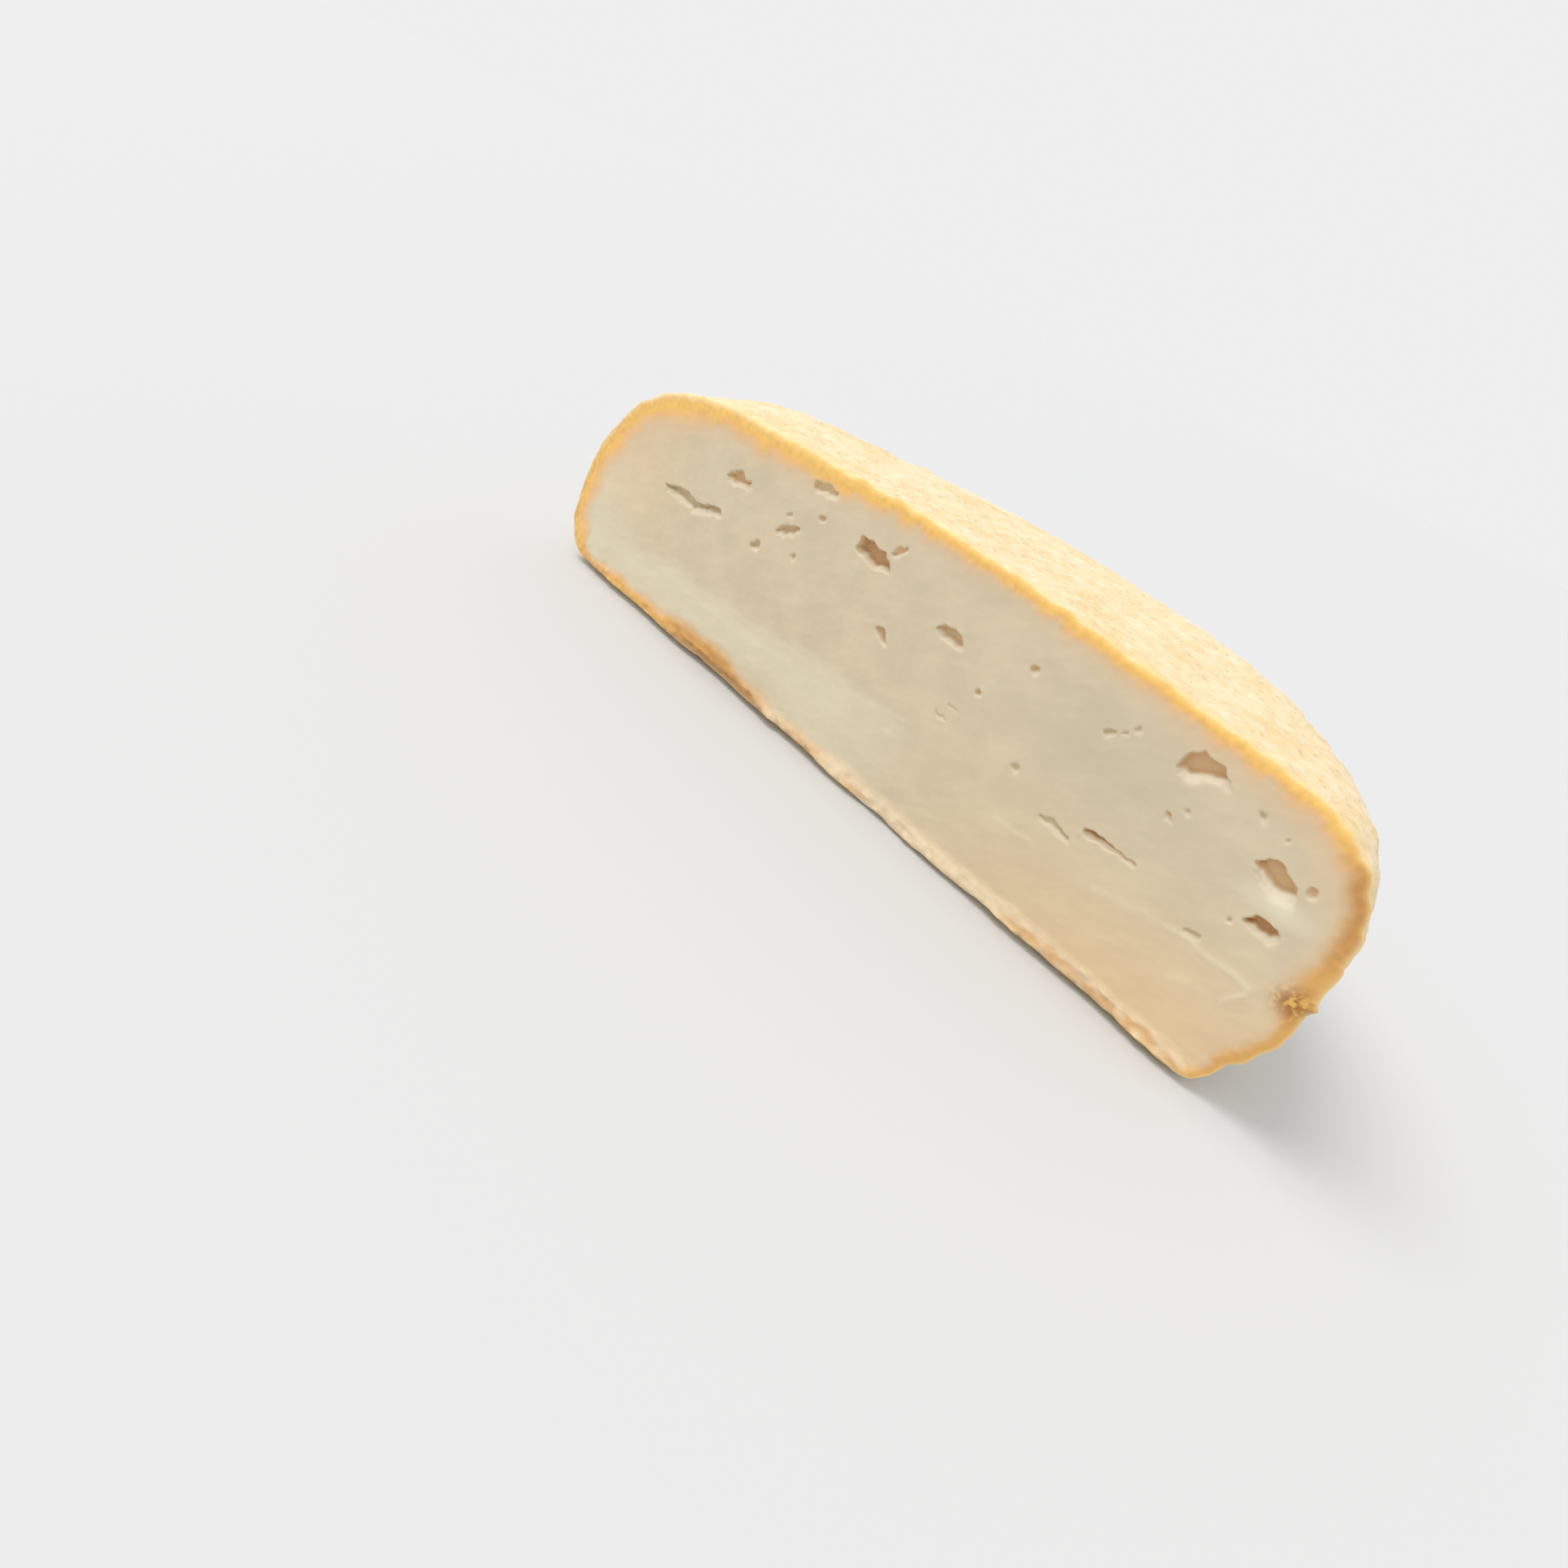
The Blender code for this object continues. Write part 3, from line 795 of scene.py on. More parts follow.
def nearest_on_line(places: np.ndarray, loop: np.ndarray) -> tuple[np.ndarray, np.ndarray]:
    """Find the nearest place of a closed outline whose corners are closely spaced.

    Args:
        places: rows of (x, z).
        loop: corners of the outline in order.

    Returns:
        Distance from each place to the outline, and the nearest place on it.
    """
    following = np.roll(loop, -1, axis=0)
    marks = np.concatenate([loop + (following - loop) * share for share in (0.0, 0.25, 0.5, 0.75)])
    tree = KDTree(len(marks))
    for number, (x, z) in enumerate(marks):
        tree.insert((x, z, 0.0), number)
    tree.balance()
    found = [tree.find((x, z, 0.0))[1:] for x, z in places]
    return np.array([gap for _, gap in found]), marks[[number for number, _ in found]]


def thinned(places: np.ndarray, gap: float) -> np.ndarray:
    """Drop places that crowd an earlier one.

    Args:
        places: rows of (x, z).
        gap: least distance, roughly kept.

    Returns:
        The places that stay.
    """
    _, first = np.unique(np.round(places / gap).astype(int), axis=0, return_index=True)
    return places[np.sort(first)]


def filled(loop: np.ndarray, inner: np.ndarray) -> tuple[np.ndarray, np.ndarray]:
    """Fill an outline with triangles.

    Args:
        loop: anticlockwise outline.
        inner: points inside it.

    Returns:
        Points, whose first rows are the loop in its order, and triangles that turn anticlockwise.
    """
    count = len(loop)
    places = np.concatenate([loop, inner])
    edges = [(i, (i + 1) % count) for i in range(count)]
    _, _, triangles, origins, _, _ = delaunay_2d_cdt(
        [Vector(place) for place in places], edges, [list(range(count))], 1, 1e-7, True
    )
    back = np.array([found[0] if found else -1 for found in origins])
    if (back < 0).any():
        raise ValueError("the outline crosses itself")
    faces = back[np.array([list(t) for t in triangles])]
    a, b, c = (places[faces[:, i]] for i in range(3))
    turn = (b[:, 0] - a[:, 0]) * (c[:, 1] - a[:, 1]) - (b[:, 1] - a[:, 1]) * (c[:, 0] - a[:, 0])
    faces[turn < 0] = faces[turn < 0][:, ::-1]
    # The fill also bridges the outline's hollows from outside, and those triangles go.
    return places, faces[inside_loop(places[faces].mean(axis=1), loop)]


# Rind


@dataclass
class Rind:
    """The washed rind over top, side and foot, with the prints of the draining cloth."""

    wheel: WheelShape
    columns: int = 330
    row_step: float = 0.84
    cloth_pitch: float = 2.9
    print_depth: float = 0.1
    cloth_pull_across: Ripple = Ripple(16.0, 41, 1.4)
    cloth_pull_along: Ripple = Ripple(16.0, 42, 1.4)
    press: Ripple = Ripple(14.0, 43, 0.4)
    lumps: Ripple = Ripple(7.5, 44, 0.10)
    small_lumps: Ripple = Ripple(3.6, 45, 0.07)
    swells: Ripple = Ripple(17.0, 46, 0.12)
    scallops: Ripple = Ripple(5.5, 47, 0.08)
    scallop_reach: float = 3.0
    shrink: float = 0.12
    grid: np.ndarray = field(default_factory=lambda: np.zeros((0, 0, 3)))
    cloth: np.ndarray = field(default_factory=lambda: np.zeros((0, 0, 2)))

    def build(self) -> None:
        """Lay out the rind and press the cloth's prints into it."""
        right, left, run = self.wheel.rows(self.row_step)
        angle = np.linspace(0.0, math.pi, self.columns)
        smooth = self.wheel.place(right, left, angle)
        normal = np.cross(np.gradient(smooth, axis=0), np.gradient(smooth, axis=1))
        normal /= np.maximum(np.linalg.norm(normal, axis=-1, keepdims=True), 1e-9)
        normal[0] = (0.0, 0.0, 1.0)
        across, along = run[:, None] * np.cos(angle), run[:, None] * np.sin(angle)
        pulls = [ripple.at(across, along) for ripple in (self.cloth_pull_across, self.cloth_pull_along)]
        self.cloth = np.stack([across, along], axis=-1) + np.stack(pulls, axis=-1)
        height = self.relief(across, along, smooth)
        height = height * smooth_step(0.5, 6.0, smooth[..., 2])
        height[0] = height[0].mean()
        grid = smooth + normal * height[..., None]
        grid[:, 0, 1] = 0.0
        grid[:, -1, 1] = 0.0
        grid[0] = (0.0, 0.0, grid[0, :, 2].mean())
        self.grid = grid

    def relief(self, across: np.ndarray, along: np.ndarray, smooth: np.ndarray) -> np.ndarray:
        """Height of the rind over the smooth wheel.

        Args:
            across: first cloth coordinate.
            along: second cloth coordinate.
            smooth: points of the smooth wheel.

        Returns:
            Heights in millimetres.
        """
        cos, sin = math.cos(CLOTH_TURN), math.sin(CLOTH_TURN)
        weft = (self.cloth[..., 0] * cos - self.cloth[..., 1] * sin) * 2 * math.pi / self.cloth_pitch
        warp = (self.cloth[..., 0] * sin + self.cloth[..., 1] * cos) * 2 * math.pi / self.cloth_pitch
        strength = np.clip(0.65 + self.press.at(across, along), 0.1, 1.3)
        prints = -self.print_depth * np.clip(np.sin(weft) * np.sin(warp), -0.4, 1.0) * strength
        lumps = self.lumps.at(across, along) + self.small_lumps.at(across, along)
        swells = self.swells.at(across, along)
        scallops = self.scallops.at(across, along) * np.exp(-smooth[..., 1] / self.scallop_reach)
        return prints + lumps + swells + scallops - self.shrink


# Finishes


CLOUD_SOCKETS = ("Vector", "Scale", "Detail", "Roughness")
STRETCH_SOCKETS = ("Value", "From Min", "From Max", "To Max")


def add_node(
    tree: bpy.types.NodeTree, kind: str, settings: dict[str, Any], links: dict[Any, Any], output: Any = 0
) -> bpy.types.NodeSocket:
    """Add a node with its settings and what its sockets hold.

    Args:
        tree: the material's nodes.
        kind: Blender's name for the node.
        settings: attributes to set on the node.
        links: socket name or number, and the value or the socket that feeds it.
        output: name or number of the wanted output.

    Returns:
        The wanted output of the new node.
    """
    node = tree.nodes.new(kind)
    for name, value in settings.items():
        setattr(node, name, value)
    for name, value in links.items():
        if isinstance(value, bpy.types.NodeSocket):
            tree.links.new(value, node.inputs[name])
        else:
            node.inputs[name].default_value = value
    return node.outputs[output]


def layered(tree: bpy.types.NodeTree, ground: Any, layers: tuple[tuple[Any, float, Any], ...]) -> Any:
    """Lay colours over a ground.

    Args:
        tree: the material's nodes.
        ground: sRGB hex colour, or the socket that gives the lowest colour.
        layers: for each layer, the socket of its share, the most of it, and its colour as for the ground.

    Returns:
        The socket of the top colour.
    """
    for share, most, colour in layers:
        ground, colour = (linear_rgba(c) if isinstance(c, str) else c for c in (ground, colour))
        part = add_node(tree, "ShaderNodeMath", {"operation": "MULTIPLY"}, {0: share, 1: most})
        ground = add_node(tree, "ShaderNodeMix", {"data_type": "RGBA"}, {0: part, 6: ground, 7: colour}, 2)
    return ground


def add_alike(
    tree: bpy.types.NodeTree, kind: str, sockets: tuple[str, ...], wanted: dict[str, tuple[Any, ...]]
) -> dict[str, bpy.types.NodeSocket]:
    """Add several nodes that are fed in the same way.

    Args:
        tree: the material's nodes.
        kind: Blender's name for the nodes.
        sockets: names of the sockets to feed.
        wanted: for each node, what those sockets hold.

    Returns:
        The first output of each node.
    """
    return {name: add_node(tree, kind, {}, dict(zip(sockets, held))) for name, held in wanted.items()}


def set_body(
    surface: bpy.types.Node, roughness: float, ior: float, gloss: float, sunk_light: float, depth_mm: float
) -> None:
    """Set how a Principled surface shines and how far light sinks into it.

    Args:
        surface: the Principled BSDF.
        roughness: its roughness.
        ior: its index of refraction.
        gloss: its specular level.
        sunk_light: share of light that sinks in.
        depth_mm: how deep red light sinks, in millimetres.
    """
    values = {
        "Roughness": roughness,
        "IOR": ior,
        "Specular IOR Level": gloss,
        "Subsurface Weight": sunk_light,
        "Subsurface Scale": depth_mm * MM,
        "Subsurface Radius": (1.0, 0.94, 0.82),
    }
    for name, value in values.items():
        surface.inputs[name].default_value = value


def fill_ramp(node: bpy.types.Node, stops: tuple[tuple[float, str], ...]) -> None:
    """Set a colour ramp's stops from sRGB hex colours."""
    ramp = node.color_ramp
    while len(ramp.elements) > 1:
        ramp.elements.remove(ramp.elements[-1])
    ramp.elements[0].position = stops[0][0]
    ramp.elements[0].color = linear_rgba(stops[0][1])
    for position, colour in stops[1:]:
        ramp.elements.new(position).color = linear_rgba(colour)


@dataclass(frozen=True)
class PressedWashedRind:
    """Brine-washed rind that dried matt in its cloth: cream with yellow showing through and a pale bloom."""

    name: str = "washed_rind_pressed_in_cloth"
    cream: str = "#EAD6AE"
    yellow: str = "#E8CB98"
    bloom: str = "#F1E4C8"
    pit: str = "#CDB892"
    cut_edge: str = "#F8D894"
    roughness: float = 0.72
    ior: float = 1.42
    gloss: float = 0.35
    sunk_light: float = 0.12
    sunk_mm: float = 0.8
    patch_mm: float = 12.0
    bloom_mm: float = 3.2
    grain_mm: float = 0.7
    cloth_mm: float = 2.9
    edge_mm: float = 5.0

    def material(self) -> bpy.types.Material:
        """Make the rind's material.

        Returns:
            A matt, faintly translucent skin whose pits are darker than the threads' ridges.
        """
        made = bpy.data.materials.new(self.name)
        made.use_nodes = True
        tree = made.node_tree
        surface = tree.nodes["Principled BSDF"]
        place = add_node(tree, "ShaderNodeTexCoord", {}, {}, "Object")
        edge = add_node(tree, "ShaderNodeAttribute", {"attribute_name": "edge"}, {}, "Fac")
        pattern = add_alike(tree, "ShaderNodeTexNoise", CLOUD_SOCKETS, {
            "patches": (place, MM_PER_M / self.patch_mm, 3.0, 0.5),
            "flecks": (place, MM_PER_M / self.bloom_mm, 5.0, 0.62),
            "grain": (place, MM_PER_M / self.grain_mm, 4.0, 0.6),
        })
        share = add_alike(tree, "ShaderNodeMapRange", STRETCH_SOCKETS, {
            "yellow": (pattern["patches"], 0.38, 0.68, 1.0),
            "bloom": (pattern["flecks"], 0.46, 0.68, 0.75),
            "weave": (self.weave(tree), 0.45, 1.0, 1.0),
            "breakup": (pattern["flecks"], 0.62, 0.36, 0.5),
            "edge": (edge, self.edge_mm, 0.0, 0.5),
        })
        pits = add_node(
            tree, "ShaderNodeMath", {"operation": "MULTIPLY"}, {0: share["weave"], 1: share["breakup"]}
        )
        # Dried brine and white mould lie in soft flecks, finer than the patches under them, the threads
        # left rows of small pits, which are painted greyer, and the skin shows yellower beside the cut.
        coloured = layered(tree, self.cream, (
            (share["yellow"], 1.0, self.yellow),
            (share["bloom"], 1.0, self.bloom),
            (pits, 1.0, self.pit),
            (share["edge"], 1.0, self.cut_edge),
        ))
        tree.links.new(coloured, surface.inputs["Base Color"])
        relief = {}
        for height, strength, depth_mm, sunk in (
            (pattern["grain"], 0.35, 0.12, False),
            (pattern["flecks"], 0.6, 0.25, False),
            (pits, 0.8, 0.3, True),
        ):
            links = {"Height": height, "Strength": strength, "Distance": depth_mm * MM}
            relief = {"Normal": add_node(tree, "ShaderNodeBump", {"invert": sunk}, links | relief)}
        tree.links.new(relief["Normal"], surface.inputs["Normal"])
        set_body(surface, self.roughness, self.ior, self.gloss, self.sunk_light, self.sunk_mm)
        return made

    def weave(self, tree: bpy.types.NodeTree) -> bpy.types.NodeSocket:
        """Cross two sets of waves, one to each thread of the cloth.

        Args:
            tree: the material's nodes.

        Returns:
            The socket of the pattern, highest where the cloth pressed in.
        """
        cloth = add_node(tree, "ShaderNodeAttribute", {"attribute_name": "cloth"}, {}, "Vector")
        turn = (0.0, 0.0, CLOTH_TURN)
        turned = add_node(tree, "ShaderNodeMapping", {}, {"Vector": cloth, "Rotation": turn})
        waves = []
        for axis in ("X", "Y"):
            apart = add_node(tree, "ShaderNodeSeparateXYZ", {}, {"Vector": turned}, axis)
            phase = add_node(
                tree, "ShaderNodeMath", {"operation": "MULTIPLY"}, {0: apart, 1: 2 * math.pi / self.cloth_mm}
            )
            waves.append(add_node(tree, "ShaderNodeMath", {"operation": "SINE"}, {0: phase}))
        return add_node(tree, "ShaderNodeMath", {"operation": "MULTIPLY"}, dict(enumerate(waves)))


@dataclass(frozen=True)
class KnifeCutPaste:
    """Fat, moist semi-hard paste cut with a knife: greyish ivory, amber at the rind, painted tan inside the
    eyes as painted shade, with painted light, a painted highlight and painted shade on the face.
    """

    name: str = "semi_hard_goat_paste_knife_cut"
    ivory: str = "#E0D1B2"
    grey_ivory: str = "#D8C9AB"
    warm: str = "#EBCDA0"
    # Painted light, laid low on the left, at the left end and in a painted highlight.
    light: str = "#ECE2C6"
    # Painted shade, laid over a broad patch of the face.
    dull: str = "#D3C5AA"
    # Painted highlight on the eyes' lit lips, also laid faintly on the knife's drag ridges.
    lip: str = "#F5EAD2"
    # Painted shade inside the eyes, from faint through tan to brown.
    faint: str = "#D0BD98"
    tan: str = "#DDB888"
    brown: str = "#BC8A50"
    grain: str = "#F4C465"
    crust: str = "#985F28"
    # Painted shade under the torn lip at the foot.
    under: str = "#B58C5C"
    roughness: float = 0.5
    ior: float = 1.46
    gloss: float = 0.4
    sunk_light: float = 0.2
    sunk_mm: float = 0.8
    mottle_mm: float = 9.0
    spot_mm: float = 2.6
    curd_mm: float = 1.1
    grit_mm: float = 1.0
    smear_degrees: float = 12.0
    smears_per_m: tuple[float, float, float] = (60.0, 300.0, 700.0)
    yellow_band: tuple[tuple[float, str], ...] = (
        (0.0, "#FCD588"), (0.12, "#FDCF7B"), (0.3, "#FDCB70"), (0.44, "#FAC776"), (0.58, "#F4C588"),
        (0.78, "#EBC596"), (1.0, "#E6C8A0"),
    )
    amber_band: tuple[tuple[float, str], ...] = (
        (0.0, "#EECF98"), (0.08, "#E0B374"), (0.2, "#D09A58"), (0.36, "#CF9A5A"), (0.52, "#D6A972"),
        (0.72, "#DFBC90"), (1.0, "#E3CAA6"),
    )
    foot_band: tuple[tuple[float, str], ...] = (
        (0.0, "#F0DDBC"), (0.06, "#EED9B6"), (0.14, "#ECD5B2"), (0.42, "#ECD7B7"), (0.5, "#E5CDA8"),
        (0.6, "#DFC79F"), (0.75, "#E0CBA8"),
    )

    def material(self) -> bpy.types.Material:
        """Make the paste's material.

        Returns:
            A soft, slightly glossy cut surface that light sinks into.
        """
        made = bpy.data.materials.new(self.name)
        made.use_nodes = True
        tree = made.node_tree
        surface = tree.nodes["Principled BSDF"]
        place = add_node(tree, "ShaderNodeTexCoord", {}, {}, "Object")
        names = "band inner amber foot under grit hollow lip drag warmth lightness dull".split()
        values = {
            name: add_node(tree, "ShaderNodeAttribute", {"attribute_name": name}, {}, "Fac") for name in names
        }
        pattern = add_alike(tree, "ShaderNodeTexNoise", CLOUD_SOCKETS, {
            "mottle": (place, MM_PER_M / self.mottle_mm, 4.0, 0.55),
            "spots": (place, MM_PER_M / self.spot_mm, 3.0, 0.6),
            "grains": (place, MM_PER_M / self.grit_mm, 3.0, 0.6),
            "curd": (place, MM_PER_M / self.curd_mm, 4.0, 0.55),
        })
        share = add_alike(tree, "ShaderNodeMapRange", STRETCH_SOCKETS, {
            "grey": (pattern["mottle"], 0.35, 0.65, 1.0),
            "deeper": (pattern["spots"], 0.52, 0.8, 0.4),
            "grain": (pattern["grains"], 0.44, 0.6, 1.0),
            "eye": (values["hollow"], 0.02, 0.3, 0.9),
        })
        # Over the paste's own grey mottle: painted light low on the left, at the left end and in a painted
        # highlight, a warmer tint, and a patch of painted shade.
        paste = layered(tree, self.ivory, (
            (share["grey"], 1.0, self.grey_ivory),
            (values["lightness"], 1.0, self.light),
            (values["warmth"], 1.0, self.warm),
            (values["dull"], 1.0, self.dull),
        ))
        # The rind's colour soaks in: yellow over the top, brown where the end dried, a pale lip at the foot.
        half = add_node(tree, "ShaderNodeMath", {"operation": "DIVIDE"}, {0: values["band"], 1: 2.0})
        eye_shade_tones = ((0.0, self.faint), (0.35, self.faint), (0.7, self.tan), (1.0, self.brown))
        yellow, brown, pale, hollow = (
            self.ramp(tree, value, stops)
            for value, stops in (
                (half, self.yellow_band), (half, self.amber_band), (half, self.foot_band),
                (values["hollow"], eye_shade_tones),
            )
        )
        amber = add_node(
            tree, "ShaderNodeMath", {"operation": "MAXIMUM"}, {0: values["amber"], 1: share["deeper"]}
        )
        band = layered(tree, yellow, ((amber, 1.0, brown), (values["foot"], 1.0, pale)))
        # The torn underside of the lip is sunk and painted brown, a painted shade under it, and dried curd
        # lies in the split at the right end as yellow grains in a brown crust. The eyes are painted tan to
        # brown inside, a painted shade in the hollows, and the bevels on their lit side are painted paler, a
        # painted highlight.
        grit = layered(tree, self.crust, ((share["grain"], 1.0, self.grain),))
        coloured = layered(tree, band, (
            (values["inner"], 1.0, paste),
            (values["under"], 0.85, self.under),
            (values["grit"], 0.8, grit),
            (share["eye"], 1.0, hollow),
            (values["lip"], 0.75, self.lip),
            (values["drag"], 0.4, self.lip),
        ))
        tree.links.new(coloured, surface.inputs["Base Color"])
        # The blade smears the fat into long faint lines that climb a little to the right.
        climb = (0.0, math.radians(self.smear_degrees), 0.0)
        smear_place = add_node(
            tree, "ShaderNodeMapping", {}, {"Vector": place, "Rotation": climb, "Scale": self.smears_per_m}
        )
        smear = add_node(tree, "ShaderNodeTexNoise", {}, {"Vector": smear_place, "Scale": 1.0, "Detail": 3.0})
        relief = {}
        for height, strength, depth_mm in ((pattern["curd"], 0.22, 0.12), (smear, 0.1, 0.2)):
            links = {"Height": height, "Strength": strength, "Distance": depth_mm * MM}
            relief = {"Normal": add_node(tree, "ShaderNodeBump", {}, links | relief)}
        tree.links.new(relief["Normal"], surface.inputs["Normal"])
        set_body(surface, self.roughness, self.ior, self.gloss, self.sunk_light, self.sunk_mm)
        return made

    def ramp(self, tree: bpy.types.NodeTree, value: Any, stops: tuple[tuple[float, str], ...]) -> Any:
        """Run a value through a row of colours and return the socket of the colour."""
        colour = add_node(tree, "ShaderNodeValToRGB", {}, {0: value})
        fill_ramp(colour.node, stops)
        return colour


# Whole piece


@dataclass(frozen=True)
class Soak:
    """How far the rind's colour reaches into the paste, where the paste is warmer, and where painted light, a
    painted highlight and painted shade lie on it.

    A pair of numbers says where something is absent and where it is full, in millimetres.
    """

    right_end: tuple[float, float] = (72.0, 84.0)
    right_foot: tuple[float, float] = (0.6, 2.0)
    left_end: tuple[float, float] = (-66.0, -84.0)
    foot_height: tuple[float, float] = (2.4, 1.5)
    foot_end: tuple[float, float] = (86.0, 82.0)
    long_wave: Ripple = Ripple(14.0, 51, 0.09)
    short_wave: Ripple = Ripple(6.0, 52, 0.05)
    lip_wave: Ripple = Ripple(9.0, 39, 0.25)
    lip_skin: float = 0.9
    lip_fade: float = 2.2
    pale_fade: float = 1.3
    shoulder_fade: float = 3.0
    shoulder_height: tuple[float, float] = (33.0, 40.0)
    ragged_long: Ripple = Ripple(7.0, 55, 0.14)
    ragged_short: Ripple = Ripple(3.2, 56, 0.05)
    split: Spot = Spot(87.3, 22.3, 2.3, 2.2)
    amber_top: tuple[float, float] = (48.0, 42.5)
    amber_rise: tuple[float, float] = (26.0, 37.0)
    foot_left: tuple[float, float] = (-46.0, -52.0)
    rim_left: tuple[float, float] = (-38.0, -50.0)
    gold_right: tuple[float, float] = (43.0, 52.0)
    gold_spot: Spot = Spot(9.5, 1.6, 3.2, 0.9)
    gold_breaks: Ripple = Ripple(5.0, 58, 0.3)
    # Where painted light lies low on the left, a spot where it is weaker, a painted highlight and a patch of
    # painted shade.
    stripe_wave: Ripple = Ripple(20.0, 57, 0.8)
    stripe_height: float = 14.0
    stripe_slope: float = 0.08
    stripe_x: float = -42.0
    dimmer_spot: Spot = Spot(-20.0, 5.0, 10.0, 3.5)
    shine: Spot = Spot(77.5, 32.6, 4.2, 1.7)
    # Patch of painted shade on the face.
    dull: Spot = Spot(47.0, 35.0, 15.0, 6.5)
    under_wave: Ripple = Ripple(3.0, 59, 0.25)

    def values(
        self, x: np.ndarray, z: np.ndarray, edge: np.ndarray, near: np.ndarray
    ) -> dict[str, np.ndarray]:
        """Work out the values that the paste's colours follow.

        Args:
            x: places along the cut.
            z: heights.
            edge: distance from each place to the cut edge of the rind.
            near: nearest place on that edge.

        Returns:
            Named values for the paste's finish.
        """
        near_x, near_z = near.T
        right = smooth_step(*self.right_end, near_x) * smooth_step(*self.right_foot, near_z)
        left = smooth_step(*self.left_end, near_x)
        foot = smooth_step(*self.foot_height, near_z) * smooth_step(*self.foot_end, np.abs(near_x))
        lip_top, pale, under = (np.interp(x, FOOT_LIP[0], row) for row in FOOT_LIP[1:4])
        width = np.interp(near_x, *TOP_BAND[:2])
        width = width * (1 - right) + right * np.interp(near_z, *RIGHT_BAND)
        width = width * (1 + self.long_wave.at(near_x, near_z) + self.short_wave.at(near_x, near_z))
        width = width * (1 - foot) + foot * (lip_top - self.lip_skin + self.lip_wave.at(x, 0 * x))
        fade = np.interp(near_x, TOP_BAND[0], TOP_BAND[2]) * (1 - foot)
        fade = fade + (self.lip_fade - self.pale_fade * pale) * foot
        fade = fade + self.shoulder_fade * right * smooth_step(*self.shoulder_height, near_z)
        waver = self.ragged_long.at(x, z) + self.ragged_short.at(x, z)
        ragged = edge + waver * smooth_step(0.3, 1.5, edge)
        split = self.split.at(x, z)
        amber = smooth_step(*self.amber_top, near_z) * (0.6 + 0.4 * smooth_step(*self.amber_rise, near_z))
        amber = np.clip(right * amber + split, 0, 1)
        amber = np.maximum(amber, foot * (0.8 - 0.25 * smooth_step(*self.foot_left, x)))
        rim = smooth_step(*self.rim_left, near_x) * (1 - foot)
        gold = smooth_step(*self.gold_right, x) * smooth_step(0.95, 0.6, ragged / width)
        gold = np.maximum(gold, self.gold_spot.at(x, z))
        gold = gold * np.clip(0.85 + self.gold_breaks.at(x, z * 2), 0, 1)
        pale_rim = 0.45 * rim * smooth_step(0.4, 0.05, ragged / width)
        # Painted light: lighter low on the left below a wavy line and at the left end, weaker in one dimmer
        # spot, and a painted highlight where the face shines.
        stripe = z - self.stripe_height - self.stripe_slope * (x - self.stripe_x) + self.stripe_wave.at(x, z)
        low_left = smooth_step(3.0, -2.0, stripe) * smooth_step(25.0, -10.0, x)
        low_left = low_left * (1 - 0.8 * self.dimmer_spot.at(x, z))
        far_left = smooth_step(-60.0, -84.0, x) * smooth_step(34.0, 24.0, z)
        upper_left = smooth_step(-52.0, -72.0, x) * smooth_step(12.0, 24.0, z)
        low_right = smooth_step(10.0, 76.0, x) * smooth_step(30.0, 4.0, z)
        light = 0.6 * np.maximum(low_left, far_left) + 0.9 * self.shine.at(x, z)
        # Painted shade: the sunk underside of the lip is painted brown up to the table's height.
        bare = smooth_step(under + 1.4, under + 0.3, z + self.under_wave.at(x, z))
        return {
            "band": ragged / width,
            "inner": smooth_step(0.0, 1.0, (ragged - 0.8 * width) / (0.2 * width + fade)),
            "amber": amber,
            "foot": np.maximum(foot * pale * (1 - 0.7 * gold), pale_rim),
            "under": foot * bare,
            "grit": np.clip(split + 0.3 * left * smooth_step(3.0, 1.0, edge), 0, 1),
            "warmth": np.maximum(0.8 * low_right, 0.4 * upper_left),
            # Painted shade over a broad patch of the face.
            "dull": 0.8 * self.dull.at(x, z),
            "lightness": np.clip(light, 0, 1),
        }


